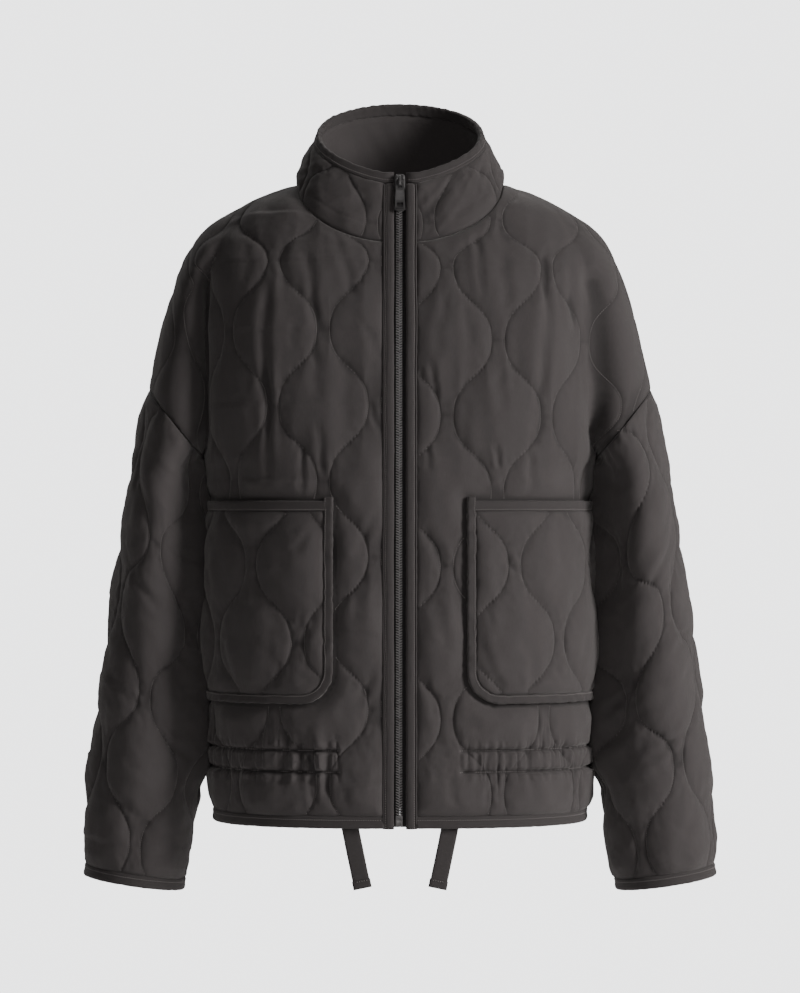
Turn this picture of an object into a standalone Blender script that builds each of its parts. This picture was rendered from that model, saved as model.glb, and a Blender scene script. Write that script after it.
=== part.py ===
"""Quilted zip jacket with a stand collar and two patch pockets, filled out as if worn, with no wearer.

Frame: +Z up, +X to the viewer's right, the front faces -Y. The origin is in the middle of the neck,
level with the highest point of the shoulder seams. Sizes below are in millimetres; MM makes them metres.
"""

import math

import bmesh
import bpy
import numpy as np
from mathutils import Vector
from mathutils.geometry import delaunay_2d_cdt

MM = 0.001

# ---- Driving sizes ----
SEAM = 0.3  # gap between two pieces that are sewn together
WALL = 3.0  # padded cloth where it is stitched flat
HEM_Z = -597.0
BIND = 10.0  # height of the bindings on hem, cuffs and collar
BIND_OUT = 1.6  # how far a binding stands out from the cloth
BIND_IN = 4.4  # and how far it reaches in
UNDERARM_X, UNDERARM_Z = 187.0, -262.0
ARMHOLE_TOP_X, ARMHOLE_TOP_Z = 240.0, -197.0  # where the sleeve seam crosses the outside of the arm
CUFF_OUTER_Z, CUFF_INNER_Z = -650.0, -664.0
SLEEVE_GIRTH = 380.0
SLEEVE_LENGTH = 430.0
NECK_HALF_WIDTH = 98.0
NECK_FRONT_Z = -61.0
NECK_BACK_Z = -8.0
EDGE_X = 15.0  # front panels start here, beside the zip binding

# Quilting: wavy stitch lines side by side, each the mirror of the next, which leaves onion shapes.
LINE_GAP = 48.0
LINE_SWING = 18.0
LINE_PERIOD = 141.0
PUFF = 6.0
STEPS_PER_PERIOD = 6
MOST_GAP = LINE_GAP + 2 * LINE_SWING

# Drawcord channel: two rows of stitching with gathers between them.
CHANNEL_TOP_Z = -535.0
CHANNEL_LOW_Z = -555.0
GATHER_PITCH = 12.0
GATHER_DEPTH = 1.6

# Torso sections: height, half width, depth to the front, depth to the back, squareness.
TORSO = [
    dict(z=-620, half=177, front=136, back=124, square=2.6),
    dict(z=-597, half=178, front=138, back=126, square=2.6),
    dict(z=-535, half=181, front=138, back=124, square=2.6),
    dict(z=-400, half=183, front=136, back=122, square=2.6),
    dict(z=-300, half=181, front=133, back=120, square=2.5),
    dict(z=-285, half=181.5, front=132, back=120, square=2.4),
    dict(z=-272, half=183.5, front=132, back=120, square=2.35),
    dict(z=-262, half=187, front=131, back=119, square=2.3),
    dict(z=-160, half=188, front=122, back=117, square=2.5),
    dict(z=-100, half=190, front=112, back=112, square=2.5),
    dict(z=-62, half=188, front=94, back=100, square=2.3),
    dict(z=-40, half=170, front=83, back=92, square=2.2),
    dict(z=-20, half=140, front=72, back=83, square=2.1),
    dict(z=-8, half=114, front=62, back=75, square=2.0),
    dict(z=0, half=98, front=54, back=67, square=2.0),
]
# Arm sections: height, inner and outer side, half depth, and how far the middle hangs forward.
ARM = [
    dict(z=-680, inner=209, outer=300, deep=50, forward=16),
    dict(z=-658, inner=205, outer=300, deep=52, forward=15),
    dict(z=-581, inner=197, outer=296, deep=59, forward=11),
    dict(z=-466, inner=197, outer=282, deep=68, forward=6),
    dict(z=-389, inner=197, outer=271, deep=74, forward=3),
    dict(z=-312, inner=197, outer=260, deep=79, forward=1),
    dict(z=-290, inner=197, outer=257, deep=80, forward=0),
    dict(z=-280, inner=196, outer=255, deep=80, forward=0),
    dict(z=-270, inner=193, outer=253, deep=80, forward=0),
    dict(z=-262, inner=187.2, outer=252, deep=80, forward=0),
    dict(z=-258, inner=184, outer=251, deep=80, forward=0),
    dict(z=-250, inner=178, outer=249, deep=80, forward=0),
    dict(z=-235, inner=168, outer=247, deep=79, forward=0),
    dict(z=-197, inner=160, outer=240, deep=76, forward=0),
    dict(z=-139, inner=158, outer=227, deep=70, forward=0),
    dict(z=-101, inner=150, outer=216, deep=63, forward=0),
    dict(z=-62, inner=120, outer=200, deep=52, forward=0),
    dict(z=-43, inner=90, outer=185, deep=44, forward=0),
    dict(z=-24, inner=60, outer=157, deep=33, forward=0),
    dict(z=-8, inner=50, outer=125, deep=20, forward=0),
    dict(z=0, inner=50, outer=98, deep=8, forward=0),
]
CLOTH = (0.052, 0.048, 0.045)
TRIM = (0.042, 0.039, 0.037)
METAL = (0.05, 0.048, 0.046)


def smooth_table(rows, column, z):
    """A column of a section table at the heights z, along a smooth monotone curve through its rows."""
    rows = sorted(rows, key=lambda row: row["z"])
    at = np.array([row["z"] for row in rows], float)
    value = np.array([row[column] for row in rows], float)
    slope = np.diff(value) / np.diff(at)
    tangent = np.zeros_like(value)
    same_way = slope[:-1] * slope[1:] > 0
    harmonic = 2 * slope[:-1] * slope[1:] / np.where(same_way, slope[:-1] + slope[1:], 1)
    tangent[1:-1] = np.where(same_way, harmonic, 0)
    tangent[0], tangent[-1] = slope[0], slope[-1]
    z = np.clip(z, at[0], at[-1])
    i = np.clip(np.searchsorted(at, z, side="right") - 1, 0, len(at) - 2)
    span = at[i + 1] - at[i]
    t = (z - at[i]) / span
    return (
        value[i] * (1 + 2 * t) * (1 - t) ** 2
        + tangent[i] * span * t * (1 - t) ** 2
        + value[i + 1] * t * t * (3 - 2 * t)
        - tangent[i + 1] * span * t * t * (1 - t)
    )


def superellipse(angle, half, deep, square):
    c, s = np.cos(angle), np.sin(angle)
    return half * np.abs(c) ** (2 / square), deep * np.abs(s) ** (2 / square)


class BodyForm:
    """Half of the body's surface, front or back: horizontal sections from the centre line round to the side
    seam, or above the underarm on over the arm. A point is (distance along the section, height)."""

    STEP_Z = 1.0
    SAMPLES = 240
    ROUNDING = 7.0  # of the fold between chest and arm

    def __init__(self, depth_column, side):
        self.side = side  # -1 front, +1 back
        self.heights = np.arange(HEM_Z - 20, 0.01, self.STEP_Z)
        sections = [self.section(z, depth_column) for z in self.heights]
        self.points = np.array([s[0] for s in sections])
        self.length = np.array([s[1] for s in sections])
        self.fold = np.array([s[2] for s in sections])

    def section(self, z, depth_column):
        torso = {c: float(smooth_table(TORSO, c, z)) for c in ("half", depth_column, "square")}
        arm = {c: float(smooth_table(ARM, c, z)) for c in ("inner", "outer", "deep")}
        angle = np.linspace(math.pi / 2, 0, 400)
        x, y = superellipse(angle, torso["half"], torso[depth_column], torso["square"])
        path = np.stack([x, y], 1)
        fold_at = None
        if z > UNDERARM_Z:
            middle, wide = (arm["inner"] + arm["outer"]) / 2, (arm["outer"] - arm["inner"]) / 2
            round_arm = np.linspace(math.pi, 0, 400)
            arm_path = np.stack([middle + wide * np.cos(round_arm), arm["deep"] * np.sin(round_arm)], 1)
            in_arm = ((x - middle) / wide) ** 2 + (y / arm["deep"]) ** 2 < 1
            in_torso = (arm_path[:, 0] / torso["half"]) ** torso["square"] + (
                arm_path[:, 1] / torso[depth_column]
            ) ** torso["square"] < 1
            if (~in_torso).any() and in_arm.any():
                chest = path[: int(np.argmax(in_arm))]
                over = arm_path[int(np.argmax(~in_torso)) :]
                fold_at = len_of(chest)
                path = np.concatenate([chest, over])
        soften = np.clip((z - UNDERARM_Z) / 30, 0.15, 1) if z > UNDERARM_Z else 1.0
        return self.rounded(path, fold_at, self.ROUNDING * soften)

    def rounded(self, path, fold_at, rounding):
        along = distance_along(path)
        at = np.linspace(0, along[-1], self.SAMPLES)
        even = np.stack([np.interp(at, along, path[:, k]) for k in (0, 1)], 1)
        step = at[1]
        reach = int(3 * rounding / step) + 1
        weight = np.exp(-0.5 * (np.arange(-reach, reach + 1) * step / rounding) ** 2)
        weight /= weight.sum()
        before = even[1 : reach + 1][::-1] * [-1, 1]
        after = even[-reach - 1 : -1][::-1] * [1, -1]
        padded = np.concatenate([before, even, after])
        soft = np.stack([np.convolve(padded[:, k], weight, "valid") for k in (0, 1)], 1)
        along = distance_along(soft)
        at = np.linspace(0, along[-1], self.SAMPLES)
        soft = np.stack([np.interp(at, along, soft[:, k]) for k in (0, 1)], 1)
        return soft, along[-1], along[-1] if fold_at is None else fold_at

    def row(self, values, z):
        return np.interp(z, self.heights, values)

    def place(self, u, z):
        """Points on the surface, at the distances u along the sections at the heights z."""
        u, z = np.asarray(u, float), np.asarray(z, float)
        i = np.clip((z - self.heights[0]) / self.STEP_Z, 0, len(self.heights) - 1.001)
        low = i.astype(int)
        share = i - low
        found = []
        for row in (low, low + 1):
            at = np.clip(u / self.length[row], 0, 1) * (self.SAMPLES - 1)
            j = np.clip(at.astype(int), 0, self.SAMPLES - 2)
            f = (at - j)[..., None]
            found.append(self.points[row, j] * (1 - f) + self.points[row, j + 1] * f)
        xy = found[0] * (1 - share)[..., None] + found[1] * share[..., None]
        return np.stack([xy[..., 0], self.side * xy[..., 1], z], -1)

    def u_at_x(self, x, z, beyond_fold=False):
        """Distance along the section at height z where it reaches x."""
        i = int(round((z - self.heights[0]) / self.STEP_Z))
        section = self.points[i]
        at = np.linspace(0, self.length[i], self.SAMPLES)
        first = int(np.argmin(section[:, 0] * (at > 0.3 * at[-1]) + 1e3 * (at <= self.fold[i]))) if beyond_fold else 0
        rising = np.maximum.accumulate(section[first:, 0])
        return float(np.interp(x, rising, at[first:]))


def distance_along(path):
    return np.concatenate([[0], np.cumsum(np.linalg.norm(np.diff(path, axis=0), axis=1))])


def len_of(path):
    return float(distance_along(path)[-1]) if len(path) > 1 else 0.0


# ---- Panels: a flat outline with stitch lines, made into a wall on a form ----
def inside(points, outline, margin=0.0):
    """Which points lie inside an outline, at least `margin` from it."""
    p = np.atleast_2d(np.asarray(points, float))
    a = np.asarray(outline, float)
    b = np.roll(a, -1, axis=0)
    crossing = (a[:, 1] > p[:, None, 1]) != (b[:, 1] > p[:, None, 1])
    rise = np.where(b[:, 1] == a[:, 1], 1e-9, b[:, 1] - a[:, 1])
    at_x = a[:, 0] + (p[:, None, 1] - a[:, 1]) * (b[:, 0] - a[:, 0]) / rise
    odd = (crossing & (p[:, None, 0] < at_x)).sum(1) % 2 == 1
    return odd & (edge_distance(p, outline) >= margin)


def edge_distance(points, outline):
    p = np.atleast_2d(np.asarray(points, float))[:, None]
    a = np.asarray(outline, float)
    step = np.roll(a, -1, axis=0) - a
    t = np.clip(((p - a) * step).sum(-1) / np.maximum((step**2).sum(-1), 1e-9), 0, 1)
    return np.linalg.norm(p - a - t[..., None] * step, axis=-1).min(1)


def triangulate(outline, lines=(), points=()):
    """Triangles inside a flat outline, whose own vertices come first and in order."""
    flat = [Vector(p) for p in outline]
    edges = []
    for line in lines:
        edges += [(len(flat) + i, len(flat) + i + 1) for i in range(len(line) - 1)]
        flat += [Vector(p) for p in line]
    flat += [Vector(p) for p in points]
    found, _, faces, origin, _, _ = delaunay_2d_cdt(flat, edges, [list(range(len(outline)))], 1, 1e-5)
    new_index, order = {}, []
    for i, ids in enumerate(origin):
        for original in ids:
            if original < len(outline):
                new_index[i] = original
    used = sorted({i for face in faces for i in face})
    order = sorted((new_index[i], i) for i in used if i in new_index)
    assert [o for o, _ in order] == list(range(len(outline))), "an outline vertex was lost"
    inner = [i for i in used if i not in new_index]
    position = {i: o for o, i in order}
    position.update({i: len(outline) + n for n, i in enumerate(inner)})
    coords = np.array([found[i] for _, i in order] + [found[i] for i in inner], float)
    return coords, [tuple(position[i] for i in face) for face in faces]


class Quilting:
    """Wavy stitch lines x = start + k*gap -+ swing*cos(...), narrow at `neck_at` between the first two lines."""

    def __init__(self, start, neck_at, low, high, left, right, period=LINE_PERIOD):
        self.start, self.neck_at, self.period = start, neck_at, period
        first = math.floor((left - start) / LINE_GAP) - 1
        last = math.ceil((right - start) / LINE_GAP) + 1
        self.numbers = np.arange(first, last + 1)
        step = period / STEPS_PER_PERIOD
        self.rows = neck_at + step * np.arange(
            math.floor((low - neck_at) / step), math.ceil((high - neck_at) / step) + 1
        )

    def lines_at(self, v):
        wave = np.cos(2 * math.pi * (np.asarray(v, float) - self.neck_at) / self.period)
        sign = np.where(self.numbers % 2 == 0, 1.0, -1.0)
        return self.start + self.numbers * LINE_GAP + sign * LINE_SWING * wave[..., None]

    def lines(self, keep):
        """The stitch lines as runs of points, where keep(points) says they belong."""
        grid = self.lines_at(self.rows)
        runs = []
        for k in range(len(self.numbers)):
            line = np.stack([grid[:, k], self.rows], 1)
            run = []
            for point, kept in zip(line, keep(line)):
                if kept:
                    run.append(tuple(point))
                elif run:
                    runs.append(run)
                    run = []
            if run:
                runs.append(run)
        return runs

    def tops(self, keep):
        """Points between the lines, that lift the cloth."""
        points = []
        for v, row in zip(self.rows, self.lines_at(self.rows)):
            for left, right in zip(row[:-1], row[1:]):
                wide = right - left
                shares = (0.25, 0.5, 0.75) if wide > 60 else (0.5,) if wide > 24 else ()
                points += [(left + wide * share, v) for share in shares]
        points = np.array(points)
        return [tuple(p) for p in points[keep(points)]]

    def height(self, points):
        rows = self.lines_at(points[:, 1])
        k = np.clip((rows <= points[:, :1]).sum(1) - 1, 0, len(self.numbers) - 2)
        pick = np.arange(len(points))
        left, right = rows[pick, k], rows[pick, k + 1]
        share = np.clip((points[:, 0] - left) / (right - left), 0, 1)
        return PUFF * ((right - left) / MOST_GAP) ** 0.8 * (4 * share * (1 - share)) ** 0.6


def normals_of(place, flat):
    """Outward directions of a form at flat points, from two short steps along it."""
    step = 0.5
    across = place(flat + [step, 0]) - place(flat - [step, 0])
    along = place(flat + [0, step]) - place(flat - [0, step])
    normal = np.cross(across, along)
    return normal / np.maximum(np.linalg.norm(normal, axis=1, keepdims=True), 1e-9)


def wall(outer, outer_faces, inner, inner_faces, rim):
    """One closed body from two skins that share the first `rim` vertices of their outlines."""
    vertices = np.concatenate([outer, inner])
    shift = len(outer)
    faces = [tuple(f) for f in outer_faces]
    faces += [tuple(i + shift for i in reversed(f)) for f in inner_faces]
    for i in range(rim):
        j = (i + 1) % rim
        faces += [(j, i, i + shift), (j, i + shift, j + shift)]
    return vertices, faces


def make(name, vertices, faces, colour, rough=0.8, metallic=0.0):
    mesh = bpy.data.meshes.new(name)
    mesh.from_pydata([tuple(v * MM for v in p) for p in vertices], [], [tuple(f) for f in faces])
    shape = bmesh.new()
    shape.from_mesh(mesh)
    bmesh.ops.recalc_face_normals(shape, faces=shape.faces)
    bmesh.ops.triangulate(shape, faces=shape.faces)
    if shape.calc_volume(signed=True) < 0:
        bmesh.ops.reverse_faces(shape, faces=shape.faces)
    shape.to_mesh(mesh)
    shape.free()
    material = bpy.data.materials.new(name)
    material.use_nodes = True
    principled = material.node_tree.nodes["Principled BSDF"]
    principled.inputs["Base Color"].default_value = (*colour, 1)
    principled.inputs["Roughness"].default_value = rough
    principled.inputs["Metallic"].default_value = metallic
    mesh.materials.append(material)
    obj = bpy.data.objects.new(name, mesh)
    bpy.context.scene.collection.objects.link(obj)
    return obj


# ---- The body: two fronts and a back ----
FRONT = BodyForm("front", -1)
BACK = BodyForm("back", 1)
ARMHOLE_RISE = (ARMHOLE_TOP_Z - UNDERARM_Z) / (ARMHOLE_TOP_X - UNDERARM_X)
ARMHOLE_NORMAL = np.array([-ARMHOLE_RISE, 0, 1]) / math.hypot(ARMHOLE_RISE, 1)
ARMHOLE_POINT = np.array([UNDERARM_X, 0, UNDERARM_Z])
NECK_STEPS = 12
SHOULDER_Z = [-8, -16, -26, -43, -60, -78, -96, -114, -134, -155, -176]
STEP = 18.0
SLOPE_FROM, SLOPE = -90.0, 1.5  # above this height the cloth leans back over the shoulder


def drape(z):
    return np.where(z > SLOPE_FROM, SLOPE_FROM + (z - SLOPE_FROM) * SLOPE, z)


def undrape(v):
    return np.where(v > SLOPE_FROM, SLOPE_FROM + (v - SLOPE_FROM) / SLOPE, v)


def spaced(start, end, step=STEP):
    """Numbers from start up to, not including, end."""
    count = max(1, int(round(abs(end - start) / step)))
    return [start + (end - start) * i / count for i in range(count)]


def neck_heights(form):
    """(x, z) along the neckline, from its middle out to the shoulder."""
    drop = NECK_FRONT_Z if form is FRONT else NECK_BACK_Z
    start = math.acos(EDGE_X / NECK_HALF_WIDTH) if form is FRONT else math.pi / 2
    angles = np.linspace(start, 0, NECK_STEPS)
    return [(NECK_HALF_WIDTH * math.cos(t), drop * math.sin(t)) for t in angles]


def neckline(form):
    points = [(form.u_at_x(x, z), z) for x, z in neck_heights(form)]
    points[-1] = (float(form.row(form.length, 0.0)), 0.0)
    return points


def body_outline(form):
    """Half of the body from its centre line, up the middle, along neck, shoulder, armhole, side and hem."""
    neck = neckline(form)
    start = neck[0][0]
    outline = [(start, z) for z in spaced(HEM_Z, neck[0][1])]
    outline += neck
    outline += [(float(form.row(form.length, z)), z) for z in SHOULDER_Z]
    for angle in np.linspace(0, math.pi, 19)[:-1]:
        x = (ARMHOLE_TOP_X + UNDERARM_X) / 2 + (ARMHOLE_TOP_X - UNDERARM_X) / 2 * math.cos(angle)
        z = UNDERARM_Z + (x - UNDERARM_X) * ARMHOLE_RISE
        u = float(form.row(form.length, z)) if angle == 0 else form.u_at_x(x, z, beyond_fold=True)
        outline.append((u, z))
    side_z = [UNDERARM_Z, UNDERARM_Z - 4, UNDERARM_Z - 9] + spaced(UNDERARM_Z - 16, HEM_Z)
    outline += [(float(form.row(form.length, z)), z) for z in side_z]
    end = float(form.row(form.length, HEM_Z))
    outline += [(u, HEM_Z) for u in spaced(end, start)]
    return [(u, float(drape(z))) for u, z in outline]


def crease_points(form):
    """The fold between chest and arm in space, and on below it where sleeve and side lie close."""
    z = np.arange(UNDERARM_Z + 2, -96, 8.0)
    points = form.place(form.row(form.fold, z), z)
    low = np.arange(UNDERARM_Z - 24, UNDERARM_Z + 1, 8.0)
    return np.concatenate([points, np.stack([low * 0 + UNDERARM_X, low * 0, low], 1)])


def calm(points, crease):
    """0 in the fold of the armpit, rising to 1 away from it."""
    mirrored = np.abs(points[:, :1]) * [1, 0, 0] + points * [0, 1, 1]
    near = np.linalg.norm(mirrored[:, None] - crease, axis=2).min(1)
    t = np.clip((near - 6) / 40, 0, 1)
    return t * t * (3 - 2 * t)


def body_place(form, flat):
    u, v = flat[:, 0], flat[:, 1]
    points = form.place(np.abs(u), undrape(v))
    points[:, 0] *= np.where(u < 0, -1, 1)
    return points


def underarm_corner(sign, side, outer, offset):
    """The meeting of side seam, sleeve seam and armhole, where the cloth faces down."""
    p = ARMHOLE_POINT + ARMHOLE_NORMAL * offset
    if not outer and offset > 0:
        p = p + [0.4, 0, WALL]
    elif not outer:
        p = p + [0, 0, WALL] - ARMHOLE_NORMAL * (WALL * ARMHOLE_NORMAL[2])
    return np.array([sign * p[0], side * SEAM / 2, p[2]])


def clear_of_armhole(points, first, keep_above):
    """Keeps the vertices inside a panel's edges on their own side of the armhole seam."""
    mirrored = points[first:] * [1, 0, 1]
    mirrored[:, 0] = np.abs(mirrored[:, 0])
    height = (mirrored - ARMHOLE_POINT) @ ARMHOLE_NORMAL
    limit = 0.6
    short = np.maximum(limit - height, 0) if keep_above else np.minimum(-limit - height, 0)
    short = np.where((mirrored[:, 0] > UNDERARM_X - 1.0) & (np.abs(height) < 6), short, 0)
    points[first:, 0] += short * ARMHOLE_NORMAL[0] * np.sign(points[first:, 0])
    points[first:, 2] += short * ARMHOLE_NORMAL[2]


def body_edges(kinds, points, side, outer):
    """Moves each edge vertex into the plane of the seam it belongs to, half a seam back."""
    for i, kind in enumerate(kinds):
        if kind == "centre":
            points[i, 0] = math.copysign(EDGE_X, points[i, 0])
        elif kind == "hem":
            points[i, 2] = HEM_Z
        elif kind == "side":
            points[i, 1] = side * SEAM / 2
        elif kind == "hem side":
            points[i, 1:] = [side * SEAM / 2, HEM_Z]
        elif kind in ("armhole", "underarm", "top"):
            sign = math.copysign(1, points[i, 0])
            p = np.array([abs(points[i, 0]), points[i, 1], points[i, 2]])
            p += ARMHOLE_NORMAL * (SEAM / 2 - (p - ARMHOLE_POINT) @ ARMHOLE_NORMAL)
            points[i] = [sign * p[0], p[1], p[2]]
            if kind != "armhole":
                points[i, 1] = side * SEAM / 2
            if kind == "underarm":
                points[i] = underarm_corner(sign, side, outer, SEAM / 2)
    return points


def edge_kinds(form, outline):
    """Which seam each vertex of a half outline belongs to."""
    start = outline[0][0]
    kinds = []
    for u, v in outline:
        z = float(undrape(v))
        full = float(form.row(form.length, z))
        on_side = abs(u - full) < 0.01
        if on_side and abs(z - ARMHOLE_TOP_Z) < 0.1:
            kinds.append("top")
        elif on_side and abs(z - UNDERARM_Z) < 0.1:
            kinds.append("underarm")
        elif on_side:
            kinds.append("hem side" if z == HEM_Z else "side")
        elif z == HEM_Z:
            kinds.append("hem")
        elif abs(u - start) < 0.01:
            kinds.append("centre")
        elif z < ARMHOLE_TOP_Z:
            kinds.append("armhole")
        else:
            kinds.append("neck")
    return kinds


def grid_points(outline, step, margin):
    o = np.array(outline)
    low, high = o.min(0), o.max(0)
    rows = np.arange(low[1] + step / 2, high[1], step * 0.9)
    points = [
        (u, v) for r, v in enumerate(rows) for u in np.arange(low[0] + step * (0.25 + 0.5 * (r % 2)), high[0], step)
    ]
    points = np.array(points)
    return points[inside(points, outline, margin)]


CHANNEL_FROM = 60.0
POCKET_INNER_X = 61.0
POCKET_TOP_Z, POCKET_BOTTOM_Z = -302.0, -493.0
POCKET_SIDE_GAP = 9.0  # from the side seam
POCKET_BIND_TOP, POCKET_BIND_SIDE = 10.0, 9.0
POCKET_ROUND_IN, POCKET_ROUND_OUT = 32.0, 18.0
POCKET_CLEAR = 0.4
POCKET_WALL = 2.6
POCKET_BIND_THICK = 4.6


def quarter(middle, radius, start, steps):
    """Points round a quarter circle, anticlockwise from an angle in quarter turns."""
    angles = (start + np.linspace(0, 1, steps + 1)) * math.pi / 2
    return [(middle[0] + radius * math.cos(t), middle[1] + radius * math.sin(t)) for t in angles]


def pocket_outlines():
    """The pocket's cloth and its binding, as flat outlines that share the seam between them. The binding runs
    along the top, down the inner side, round along the bottom and just up the outer side."""
    left = POCKET_INNER_X
    right = float(FRONT.row(FRONT.length, POCKET_TOP_Z)) - POCKET_SIDE_GAP
    top, low = POCKET_TOP_Z, POCKET_BOTTOM_Z
    middle_in = (left + POCKET_ROUND_IN, low + POCKET_ROUND_IN)
    middle_out = (right - POCKET_ROUND_OUT, low + POCKET_ROUND_OUT)

    def round_the_bottom(inset):
        """From the inner side's straight edge round to the outer side's."""
        path = quarter(middle_in, POCKET_ROUND_IN - inset, 2, 5)
        path += [(u, low + inset) for u in spaced(path[-1][0], middle_out[0], 17)[1:]]
        return path + quarter(middle_out, POCKET_ROUND_OUT - inset, 3, 3)

    seam_u, seam_z = left + POCKET_BIND_SIDE, top - POCKET_BIND_TOP
    seam = [(u, seam_z) for u in spaced(right, seam_u, 15)]
    seam += [(seam_u, z) for z in spaced(seam_z, middle_in[1], 15)] + round_the_bottom(POCKET_BIND_SIDE)
    side = [(right, z) for z in spaced(middle_out[1], seam_z, 15)]
    cloth = seam + side
    edge = [(u, top) for u in spaced(right, left, 15)]
    edge += [(left, z) for z in spaced(top, middle_in[1], 15)] + round_the_bottom(0)
    binding = seam + edge[::-1]
    whole = edge + side[1:] + [(right, seam_z)]
    return cloth, binding, whole


def shrunk(outline, by):
    """An outline with each vertex moved inward, square to its two edges."""
    p = np.array(outline)
    before, after = p - np.roll(p, 1, 0), np.roll(p, -1, 0) - p
    before /= np.linalg.norm(before, axis=1, keepdims=True)
    after /= np.linalg.norm(after, axis=1, keepdims=True)
    area = 0.5 * (p[:, 0] * np.roll(p[:, 1], -1) - np.roll(p[:, 0], -1) * p[:, 1]).sum()
    turn = math.copysign(1, area)
    normal = turn * np.stack([-(before + after)[:, 1], (before + after)[:, 0]], 1)
    scale = np.maximum((normal**2).sum(1, keepdims=True) / 2, 0.3)
    return p + normal / scale * by


def lay_on(front_flat, front_faces, outline):
    """The faces of the front inside an outline, as a skin whose vertices start with the outline's."""
    faces = [f for f in front_faces if inside(front_flat[list(f)].mean(0), outline)[0]]
    used = sorted({i for f in faces for i in f})
    flat = front_flat[used]
    order = [int(np.argmin(((flat - p) ** 2).sum(1))) for p in outline]
    assert len(set(order)) == len(order), "the outline of a laid-on piece is not in the front"
    rest = [i for i in range(len(used)) if i not in set(order)]
    place = {used[i]: n for n, i in enumerate(order + rest)}
    return flat[order + rest], [tuple(place[i] for i in f) for f in faces]


def offset_place(form, distance):
    def place(flat):
        normal = -form.side * normals_of(lambda f: body_place(form, f), flat)
        return body_place(form, flat) + normal * np.reshape(distance, (-1, 1))

    return place


def channel_points(end_z_length):
    """Vertices of the drawcord channel: two stitched rows, and gathers between them."""
    us = np.arange(CHANNEL_FROM, end_z_length - 6, GATHER_PITCH / 2)
    rows = [[(u, z) for u in us[::2]] for z in (CHANNEL_TOP_Z, CHANNEL_LOW_Z)]
    middle = [(u, (CHANNEL_TOP_Z + CHANNEL_LOW_Z) / 2) for u in us]
    return rows, middle


def gather(flat):
    z = flat[:, 1]
    middle = (CHANNEL_TOP_Z + CHANNEL_LOW_Z) / 2
    within = np.clip(1 - np.abs(z - middle) / ((CHANNEL_TOP_Z - CHANNEL_LOW_Z) / 2), 0, 1)
    wave = np.cos(2 * math.pi * (np.abs(flat[:, 0]) - CHANNEL_FROM) / GATHER_PITCH)
    return GATHER_DEPTH * within * (1.0 + wave)


def fold_lines(form, outline):
    """Lines down the fold between chest and arm and over the front of the arm, closer set near the armpit."""
    near = [UNDERARM_Z + rise for rise in (1.2, 2.5, 5.0, 9.0, 14.0, 20.0, 26.0, 32.0, 38.0)]
    heights = near + list(np.arange(UNDERARM_Z + 50, -100, 15.0))
    lines = []
    for aside in (-9.0, 0.0, 9.0, 20.0, 31.0, 42.0, 54.0):
        rows = [z for z in heights if aside < 10 or z < -165]
        line = [(float(form.row(form.fold, z)) + aside, float(drape(z))) for z in rows]
        line = [p for p, good in zip(line, inside(line, outline, 2.0 if aside else 0.3)) if good]
        if aside == 0:
            line = [(float(form.row(form.length, UNDERARM_Z)), UNDERARM_Z)] + line
        lines.append(line)
    for aside in (-9.0, -19.0):
        rows = (UNDERARM_Z - 3, UNDERARM_Z - 8, UNDERARM_Z - 15)
        lines.append([(float(form.row(form.length, z)) + aside, z) for z in rows])
    return lines


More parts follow.
